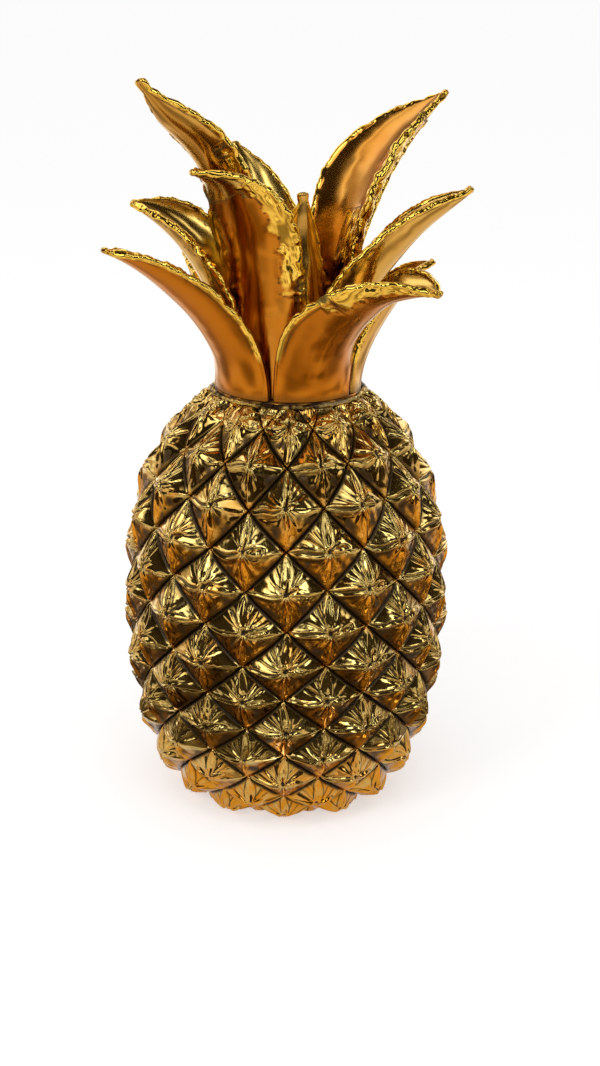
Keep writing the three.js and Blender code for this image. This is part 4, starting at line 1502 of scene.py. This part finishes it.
def leaf_plating(at, tear, crimp, band, bare, crushed):
    """How yellow, warm and dark the leaf is. The lips and the band are yellow, and the inside is less
    warm than the outside, a painted warm reflection. The crimps, nicks and deepest folds of the band
    are darker, painted shade lies at the root and as a shadow line along the inner line of the lip,
    and a dark line along the patches' borders paints the edge of a reflection."""
    outer = smoothstep(at.lean, *OUTER_SPAN) * np.ones_like(at.run)
    inside_warmth = INSIDE_WARMTH.get(at.leaf.name, USUAL_INSIDE_WARMTH)
    warm = mix(inside_warmth, at.leaf.warmth, outer) * (1 - bare)
    valley = smoothstep(-crimp, *CRIMP_DARK_SPAN) * smoothstep(at.to_edge, *CRIMP_EDGE_SPAN)
    torn = smoothstep(tear, *TEAR_DARK_SPAN)
    patch = np.maximum(band, bare)
    border = hump(patch - BORDER_PLACE, BORDER_WIDTH) * smoothstep(patch, *BORDER_SPAN)
    lip_line = hump(at.to_edge - LIP_LINE_PLACE * at.lip_width, LIP_LINE_WIDTH) * (1 - band)
    # Painted shade at the root, a painted reflection edge along the patches' borders, and a painted shadow
    # line under the lip.
    darks_and_shades = (
        at.lip * np.maximum(CRIMP_DARK * valley, TEAR_DARK * torn),
        ROOT_SHADE * fade(at.run, 0, ROOT_REACH) + 0 * outer,
        BORDER_REFLECTION_EDGE * at.free * border,
        LIP_SHADOW_LINE * at.free * lip_line,
        BAND_FOLD_DARK * at.free * band * smoothstep(-crushed, *BAND_FOLD_DARK_SPAN),
    )
    return np.maximum(at.lip, BAND_YELLOW * band * at.free), warm, np.maximum.reduce(darks_and_shades)


OUTER_THICKENING = 0.5
INWARD_LIMIT = 0.96
TIP_POLE = 0.4
TIP_YELLOW = 0.6


def leaf_skin(leaf, order, material):
    """A closed leaf: rings of its section along its line, capped at the root and the tip. Each point
    lies on an arc about the channel's centre, half the wall out or in, with the lip, the knobs and
    the dents added, and the nicks turn it back from the edge."""
    along = np.linspace(0, 1, settings().crown.stations)
    line, forward, across, outward = leaf_frames(leaf, along)
    at = leaf_grid(leaf, order, along, line)
    tear, pull, crimp, thick, knob = leaf_edge(at)
    band, bare, crushed, dents = leaf_faces(at)
    drawn_in = (0.5 * at.wall + pull) / at.bend * smoothstep(np.abs(at.side), 0.0, 1.0)
    turn = at.curl * at.side - np.sign(at.side) * drawn_in + at.bulge * at.wall / 2 / at.bend
    thicker = np.where(at.lean < 0, thick, OUTER_THICKENING * thick)
    offset = at.lean * (at.wall / 2 + thicker) + dents * at.free + knob * np.sign(at.lean)
    radius = at.bend + np.maximum(offset, -INWARD_LIMIT * at.bend)
    centre = line - outward * at.bend
    points = centre[:, None] + across[:, None] * (radius * np.sin(turn))[..., None] \
        + outward[:, None] * (radius * np.cos(turn))[..., None]
    tip = points[-1].mean(axis=0) + forward[-1] * TIP_POLE * at.wall[-1]
    lip, warm, wash_and_shade = leaf_plating(at, tear, crimp, band, bare, crushed)
    piece = capped(leaf.name + "_skin", points, np.stack([points[0].mean(axis=0), tip]), material,
                   {"lip": [*lip.ravel(), 0, TIP_YELLOW], "warm": [*warm.ravel(), 0, leaf.warmth],
                    "wash_and_shade": [*wash_and_shade.ravel(), 1, 0]})
    dress(piece, "bright_gold_glaze", leaf.name)


class ORNAMENT_OT_leaves(bpy.types.Operator):
    """Build the fourteen channel-shaped leaves with their crimped lips"""
    bl_idname = "ornament.leaves"
    bl_label = "Leaves"

    def execute(self, context):
        material = bright_gold()
        for order, leaf in enumerate(LEAVES):
            leaf_skin(leaf, order, material)
        return {"FINISHED"}


CORE_WARMTH = 0.6
CORE_DARK = 0.55
CORE_DARK_WAVE = 0.25
CORE_DARK_SIZE = 8 * MM


class ORNAMENT_OT_core(bpy.types.Operator):
    """Build the crown core: spigot, flange, stump and bud"""
    bl_idname = "ornament.core"
    bl_label = "Crown core"

    def execute(self, context):
        crown, fruit = settings().crown, settings().fruit
        seam = seam_height()
        foot = seam - crown.spigot
        flange = seam + crown.seat_gap
        stump_top = seam + crown.stump
        spigot = fruit.neck_radius - crown.seat_gap
        stump = tier_radius(len(TIER_COUNTS) - 1) - crown.wall / 2 - crown.stump_gap
        lift = np.linspace(0, math.pi / 2, crown.bud_steps)[:-1]
        bud = np.stack([stump * np.cos(lift), stump_top + crown.bud * np.sin(lift)], axis=1)
        profile = [(0, foot + crown.bore_depth), (crown.bore_radius, foot + crown.bore_depth),
                   (crown.bore_radius, foot), (spigot, foot), (spigot, flange),
                   (crown.flange_radius, flange), (crown.flange_radius, flange + crown.flange),
                   (stump, flange + crown.flange), *bud, (0, stump_top + crown.bud)]

        def darkened(points):
            """A middle darkness with waves."""
            return CORE_DARK + CORE_DARK_WAVE * waves(points, CORE_DARK_SIZE, SEED)

        piece = turned("crown_core_skin", profile, crown.core_steps, bright_gold(),
                       {"lip": 0.0, "warm": CORE_WARMTH, "wash_and_shade": darkened})
        dress(piece, "bright_gold_glaze", "crown_core")
        return {"FINISHED"}


BEAD_SWELLS = ((0.35, 7 * MM, SEED + 20), (0.18, 2.5 * MM, SEED + 21))
BEAD_LIMITS = (0.35, 1.9)
BEAD_PLACE_HEIGHT = 2 * MM
BEAD_OUT = 0.7 * MM
BEAD_UP = 0.6 * MM
BEAD_HEIGHT_SHARE = 0.9
SMEAR = 0.7
SMEAR_TURN = 40
SMEAR_WIDTH = 14
SMEAR_SPAN = (-0.6, 0.4)


class ORNAMENT_OT_seam(bpy.types.Operator):
    """Build the uneven bead of luting clay along the seam"""
    bl_idname = "ornament.seam"
    bl_label = "Seam"

    def execute(self, context):
        crown = settings().crown
        around, section = crown.seam_steps, crown.bead_steps
        turn = np.arange(around)[:, None] / around * TAU
        roll = np.arange(section)[None] / section * TAU
        place = stack(crown.flange_radius * np.cos(turn), crown.flange_radius * np.sin(turn),
                      BEAD_PLACE_HEIGHT * np.cos(roll))
        swell = 1 + sum(rise * waves(place, size, seed) for rise, size, seed in BEAD_SWELLS)
        thick = crown.bead * np.clip(swell, *BEAD_LIMITS)
        radius = crown.flange_radius + BEAD_OUT + thick * np.cos(roll)
        height = seam_height() + BEAD_UP + BEAD_HEIGHT_SHARE * thick * np.sin(roll)
        ring, step = np.meshgrid(np.arange(around), np.arange(section), indexing="ij")
        here = ring * section
        ahead = (ring + 1) % around * section
        beside = (step + 1) % section
        quads = np.stack([here + step, ahead + step, ahead + beside, here + beside], axis=-1)
        smear = SMEAR * hump(np.degrees(turn) - SMEAR_TURN, SMEAR_WIDTH) \
            * smoothstep(np.sin(roll), *SMEAR_SPAN)
        piece = new_piece("seam_bead", round_axis(radius, turn, height), quads.reshape(-1, 4),
                          luting_clay(), attributes={"smear": smear})
        dress(piece, "antique_gold_glaze")
        return {"FINISHED"}


class ORNAMENT_OT_pad(bpy.types.Operator):
    """Build the felt pad under the foot"""
    bl_idname = "ornament.pad"
    bl_label = "Felt pad"

    def execute(self, context):
        pad = settings().pad
        lift = np.linspace(-math.pi / 2, math.pi / 2, pad.edge_steps)
        middle = np.array([pad.radius - pad.edge, pad.thickness / 2])
        edge = middle + np.stack([pad.edge * np.cos(lift), pad.thickness / 2 * np.sin(lift)], axis=1)
        inner = np.linspace(0, middle[0], pad.face_steps)[1:-1]
        bottom = np.stack([inner, 0 * inner], axis=1)
        top = np.stack([inner[::-1], 0 * inner + pad.thickness], axis=1)
        profile = [(0, 0), *bottom, *edge, *top, (0, pad.thickness)]
        dress(turned("felt_pad_skin", profile, pad.around, pad_felt(), {}), "felt", "felt_pad")
        return {"FINISHED"}


# The studio

def studio_floor():
    """Pale floor. What the camera and polished metal see of it is partly white of its own, and the
    rest is lit, so that it keeps the object's shadow."""
    studio = settings().studio
    material, tree = bare_finish("studio_floor")
    lit = tree.nodes.new("ShaderNodeBsdfDiffuse")
    wire(tree, settings().finish.floor, lit.inputs["Color"])
    path = tree.nodes.new("ShaderNodeLightPath").outputs
    seen = reckon(tree, "MAXIMUM", path["Is Camera Ray"], path["Is Transmission Ray"])
    seen = reckon(tree, "MULTIPLY", seen, studio.floor_glow)
    mirrored = reckon(tree, "MULTIPLY", path["Is Glossy Ray"], studio.floor_mirrored)
    glow = tree.nodes.new("ShaderNodeEmission")
    wire_all(tree, glow, {"Color": (1, 1, 1), "Strength": reckon(tree, "MAXIMUM", seen, mirrored)})
    both = tree.nodes.new("ShaderNodeAddShader")
    wire_all(tree, both, {0: lit.outputs[0], 1: glow.outputs[0]})
    wire(tree, both.outputs[0], tree.nodes.new("ShaderNodeOutputMaterial").inputs["Surface"])
    return material


def studio_world():
    """White surroundings for the camera and for metal, and a soft plain light for the floor."""
    world = bpy.data.worlds.new("studio")
    world.use_nodes = True
    bpy.context.scene.world = world
    tree = world.node_tree
    path = tree.nodes.new("ShaderNodeLightPath").outputs
    seen = reckon(tree, "MAXIMUM", path["Is Camera Ray"], path["Is Glossy Ray"])
    seen = reckon(tree, "MAXIMUM", seen, path["Is Transmission Ray"])
    strength = remap(tree, seen, FULL_RANGE, (settings().studio.daylight, 1.0))
    wire_all(tree, tree.nodes["Background"], {"Color": (1, 1, 1), "Strength": strength})


# What polished metal mirrors of the room: three meshes that only its reflections see, each with a
# brightness per point, where 1 is white. Their tint goes from warm through white to cool with it.
WARM_LIGHT = (1.0, 0.75, 0.45)
WHITE_LIGHT = (1.0, 0.96, 0.88)
COOL_LIGHT = (0.84, 0.94, 1.0)
WHITE_SPAN = (0.5, 1.8)
COOL_SPAN = (2.0, 4.0)
NEARBY = (0.145, 0.165)
ROOM_STEPS = 240


def glowing(name, points, shade, nearby_only=False):
    """A grid of points that only polished metal sees, with a brightness at each point. One that is
    for nearby only is clear from behind and from further off."""
    across, up = shade.shape
    ring, step = np.meshgrid(np.arange(across - 1), np.arange(up - 1), indexing="ij")
    here = (ring * up + step).ravel()
    quads = np.stack([here, here + 1, here + up + 1, here + up], axis=-1)
    material, tree = bare_finish(name)
    shades = layer(tree, "shade")
    tint = blend_colours(tree, remap(tree, shades, WHITE_SPAN), WARM_LIGHT, WHITE_LIGHT)
    tint = blend_colours(tree, remap(tree, shades, COOL_SPAN), tint, COOL_LIGHT)
    glow = tree.nodes.new("ShaderNodeEmission")
    wire_all(tree, glow, {"Color": tint, "Strength": shades})
    surface = glow.outputs[0]
    if nearby_only:
        behind = tree.nodes.new("ShaderNodeNewGeometry").outputs["Backfacing"]
        distance = tree.nodes.new("ShaderNodeLightPath").outputs["Ray Length"]
        clear = reckon(tree, "MAXIMUM", behind, remap(tree, distance, NEARBY))
        pick = tree.nodes.new("ShaderNodeMixShader")
        nothing = tree.nodes.new("ShaderNodeBsdfTransparent").outputs[0]
        wire_all(tree, pick, {0: clear, 1: surface, 2: nothing})
        surface = pick.outputs[0]
    wire(tree, surface, tree.nodes.new("ShaderNodeOutputMaterial").inputs["Surface"])
    card = new_piece(name, points, quads, material, attributes={"shade": shade})
    card.visible_camera = False
    card.visible_diffuse = False
    card.visible_shadow = False
    card.visible_transmission = False


# The dome: turns and rises in degrees as seen from the object. The lights of the room have their
# left, right, lower and upper border and their strength. Clutter is slow waves of brightness.
DOME_TURNS = (-180, 180)
DOME_RISES = (-4, 89)
DOME_ROWS = 72
LIGHTS = (
    (-25, -12, 20, 47, 4.8), (11, 25, 18, 45, 5.2), (-57, -50, 10, 54, 3.0), (-106, -96, 8, 52, 3.0),
    (44, 55, 14, 54, 4.6), (81, 92, 8, 50, 3.2), (-26, 18, 63, 73, 1.5),
)
LIGHT_SOFT = 4.0
LIGHT_SOFT_SHARE = 2.5
CLUTTER_SIZE = 0.55
CLUTTER_SPAN = (-0.5, 0.9)
FRONT_SHADE = 0.04
BACK_SHADES = (0.2, 1.8)
BACK_TURNS = (112, 136)
WINDOW_WALL = (-152, -102, -10, 60)
WINDOW_WALL_SOFT = 8
WINDOW_WALL_SHADES = (0.7, 2.0)
CAMERA_SIDE = (-70, 60, -10, 15)
CAMERA_SIDE_SOFT = 6
CAMERA_SIDE_SHADE = 0.05


def studio_dome():
    """The room round the object: nearly black in front and at the sides, cluttered and pale behind,
    with a brighter wall behind to the left, a dark low band on the camera's side, and the lights."""
    studio = settings().studio
    turn, rise = np.meshgrid(np.linspace(*DOME_TURNS, ROOM_STEPS), np.linspace(*DOME_RISES, DOME_ROWS),
                             indexing="ij")

    def patch(left, right, low, high, soft):
        """1 within the four borders, with smooth steps inside them."""
        return window(turn, (left, left + soft), (right - soft, right)) \
            * window(rise, (low, low + soft), (high - soft, high))

    climb = np.radians(rise)
    heading = round_axis(np.cos(climb), np.radians(turn), np.sin(climb))
    clutter = smoothstep(waves(heading, CLUTTER_SIZE, SEED + 40), *CLUTTER_SPAN)
    shade = mix(FRONT_SHADE, mix(*BACK_SHADES, clutter), smoothstep(np.abs(turn), *BACK_TURNS))
    shade = mix(shade, mix(*WINDOW_WALL_SHADES, clutter), patch(*WINDOW_WALL, WINDOW_WALL_SOFT))
    shade = mix(shade, CAMERA_SIDE_SHADE, patch(*CAMERA_SIDE, CAMERA_SIDE_SOFT))
    for *borders, strength in LIGHTS:
        soft = min(LIGHT_SOFT, (borders[1] - borders[0]) / LIGHT_SOFT_SHARE)
        shade = mix(shade, strength, patch(*borders, soft))
    glowing("dome", studio.dome_radius * heading + (0, 0, studio.middle), shade)


def floor_ring(reach, rows, height):
    """A level ring about the axis: its grid of places and how far each is from the axis."""
    turn, far = np.meshgrid(np.linspace(0, TAU, ROOM_STEPS), np.linspace(*reach, rows), indexing="ij")
    return round_axis(far, turn, height), far


SHELF_REACH = (0.06, 0.34)
SHELF_ROWS = 40
SHELF_SHADE = 0.2
SHELF_WAVE = 0.18
SHELF_WAVE_SIZE = 24 * MM
SHELF_OUTER = 0.3
SHELF_OUTER_SPAN = (0.1, 0.34)
SPOT = 3.2
SPOT_SIZE = 18 * MM
SPOT_SPAN = (0.95, 1.4)
SHELF_LIMITS = (0.02, 4.0)


def studio_shelf():
    """Painted shade for the eyes' reflections: the dark that they see when they look down past their
    neighbours, as a flat ring at the height of the lowest eyes, seen from above only, so that these
    still mirror the pale floor. Its brightness is a low share with slow waves that grows outwards,
    and a few bright spots."""
    points, far = floor_ring(SHELF_REACH, SHELF_ROWS, settings().studio.shelf_height)
    shade = SHELF_SHADE + SHELF_WAVE * waves(points, SHELF_WAVE_SIZE, SEED + 30) \
        + SHELF_OUTER * smoothstep(far, *SHELF_OUTER_SPAN) \
        + SPOT * smoothstep(waves(points, SPOT_SIZE, SEED + 32), *SPOT_SPAN)
    glowing("shelf", points, np.clip(shade, *SHELF_LIMITS), nearby_only=True)


APRON_REACH = (0.1, 1.58)
APRON_ROWS = 60
APRON_CLOUD_SIZE = 0.22
APRON_CLOUD_SPAN = (-0.9, 0.6)
APRON_NEAR_SHADES = (0.35, 1.15)
APRON_FAR_SHADES = (0.55, 1.6)
APRON_FAR_SPAN = (0.35, 0.7)
APRON_START = (0.1, 0.2)


def studio_apron():
    """The floor further out as polished metal sees it: white at the object, then slow waves of
    brightness, which is lower nearby than far off."""
    points, far = floor_ring(APRON_REACH, APRON_ROWS, settings().studio.apron_height)
    cloud = smoothstep(waves(points, APRON_CLOUD_SIZE, SEED + 31), *APRON_CLOUD_SPAN)
    shade = mix(mix(*APRON_NEAR_SHADES, cloud), mix(*APRON_FAR_SHADES, cloud),
                smoothstep(far, *APRON_FAR_SPAN))
    glowing("apron", points, mix(1.0, shade, smoothstep(far, *APRON_START)))


# The soft lamps: name, turn and rise in degrees, distance, width and height, and brightness
SOFTBOXES = (
    ("key_box", -42, 30, 1.2, (0.36, 0.6), 2.6),
    ("top_box", 4, 62, 1.2, (0.7, 0.4), 1.6),
)


def softbox(name, turn, rise, distance, size, strength):
    """A rectangular lamp that faces the middle of the object. strength is its brightness as seen,
    where 1 is white, so its power is strength times its area times pi."""
    lamp = bpy.data.lights.new(name, "AREA")
    lamp.shape = "RECTANGLE"
    lamp.size, lamp.size_y = size
    lamp.energy = strength * size[0] * size[1] * math.pi
    box = bpy.data.objects.new(name, lamp)
    bpy.context.scene.collection.objects.link(box)
    climb = math.radians(rise)
    back = Vector(round_axis(math.cos(climb), math.radians(turn), math.sin(climb)))
    box.location = Vector((0, 0, settings().studio.middle)) + back * distance
    box.rotation_euler = back.to_track_quat("Z", "Y").to_euler()
    box.visible_camera = False


def studio_camera():
    """The camera, level with its distance in front of the axis, pitched down, panned and leant."""
    studio = settings().studio
    camera = bpy.data.objects.new("camera", bpy.data.cameras.new("camera"))
    bpy.context.scene.collection.objects.link(camera)
    camera.data.sensor_width = studio.sensor
    camera.data.lens = studio.lens
    camera.data.clip_start = studio.near
    camera.data.clip_end = studio.far
    forward = Vector((math.sin(studio.pan) * math.cos(studio.pitch),
                      math.cos(studio.pan) * math.cos(studio.pitch), -math.sin(studio.pitch)))
    level = forward.cross(Vector((0, 0, 1))).normalized()
    above = level.cross(forward)
    right = level * math.cos(studio.tilt) - above * math.sin(studio.tilt)
    top = level * math.sin(studio.tilt) + above * math.cos(studio.tilt)
    turned_to = Matrix((right, top, -forward)).transposed().to_4x4()
    camera.matrix_world = Matrix.Translation((0, -studio.distance, studio.camera_height)) @ turned_to
    bpy.context.scene.camera = camera


class ORNAMENT_OT_studio(bpy.types.Operator):
    """Set up the floor, what polished metal mirrors, the soft lamps and the camera"""
    bl_idname = "ornament.studio"
    bl_label = "Studio"

    def execute(self, context):
        half = settings().studio.floor_reach
        corners = half * np.array([(-1, -1, 0), (1, -1, 0), (1, 1, 0), (-1, 1, 0)], float)
        floor = new_piece("floor", corners, np.array([[0, 1, 2, 3]]), studio_floor())
        studio_world()
        studio_dome()
        studio_shelf()
        studio_apron()
        for lamp in SOFTBOXES:
            softbox(*lamp)
        context.scene.view_settings.view_transform = "Standard"
        studio_camera()
        return {"FINISHED"}


class ORNAMENT_PT_panel(bpy.types.Panel):
    """The ornament's operators, in the order in which they are used"""
    bl_label = "Pineapple ornament"
    bl_idname = "ORNAMENT_PT_panel"
    bl_space_type = "VIEW_3D"
    bl_region_type = "UI"
    bl_category = "Ornament"

    def draw(self, context):
        for operator in OPERATORS:
            self.layout.operator(operator.bl_idname)


OPERATORS = (ORNAMENT_OT_pad, ORNAMENT_OT_fruit, ORNAMENT_OT_core, ORNAMENT_OT_leaves,
             ORNAMENT_OT_seam, ORNAMENT_OT_studio)
CLASSES = (FruitSettings, EyeSettings, CrownSettings, PadSettings, FinishSettings, StudioSettings,
           OrnamentSettings, *OPERATORS, ORNAMENT_PT_panel)


def register():
    """Makes the classes and the scene's settings known to Blender."""
    for part in CLASSES:
        bpy.utils.register_class(part)
    bpy.types.Scene.ornament = PointerProperty(type=OrnamentSettings)


def unregister():
    """Takes the settings and the classes away again."""
    del bpy.types.Scene.ornament
    for part in reversed(CLASSES):
        bpy.utils.unregister_class(part)


def main():
    """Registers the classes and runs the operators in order."""
    register()
    bpy.ops.ornament.pad()
    bpy.ops.ornament.fruit()
    bpy.ops.ornament.core()
    bpy.ops.ornament.leaves()
    bpy.ops.ornament.seam()
    bpy.ops.ornament.studio()


if __name__ == "__main__":
    main()
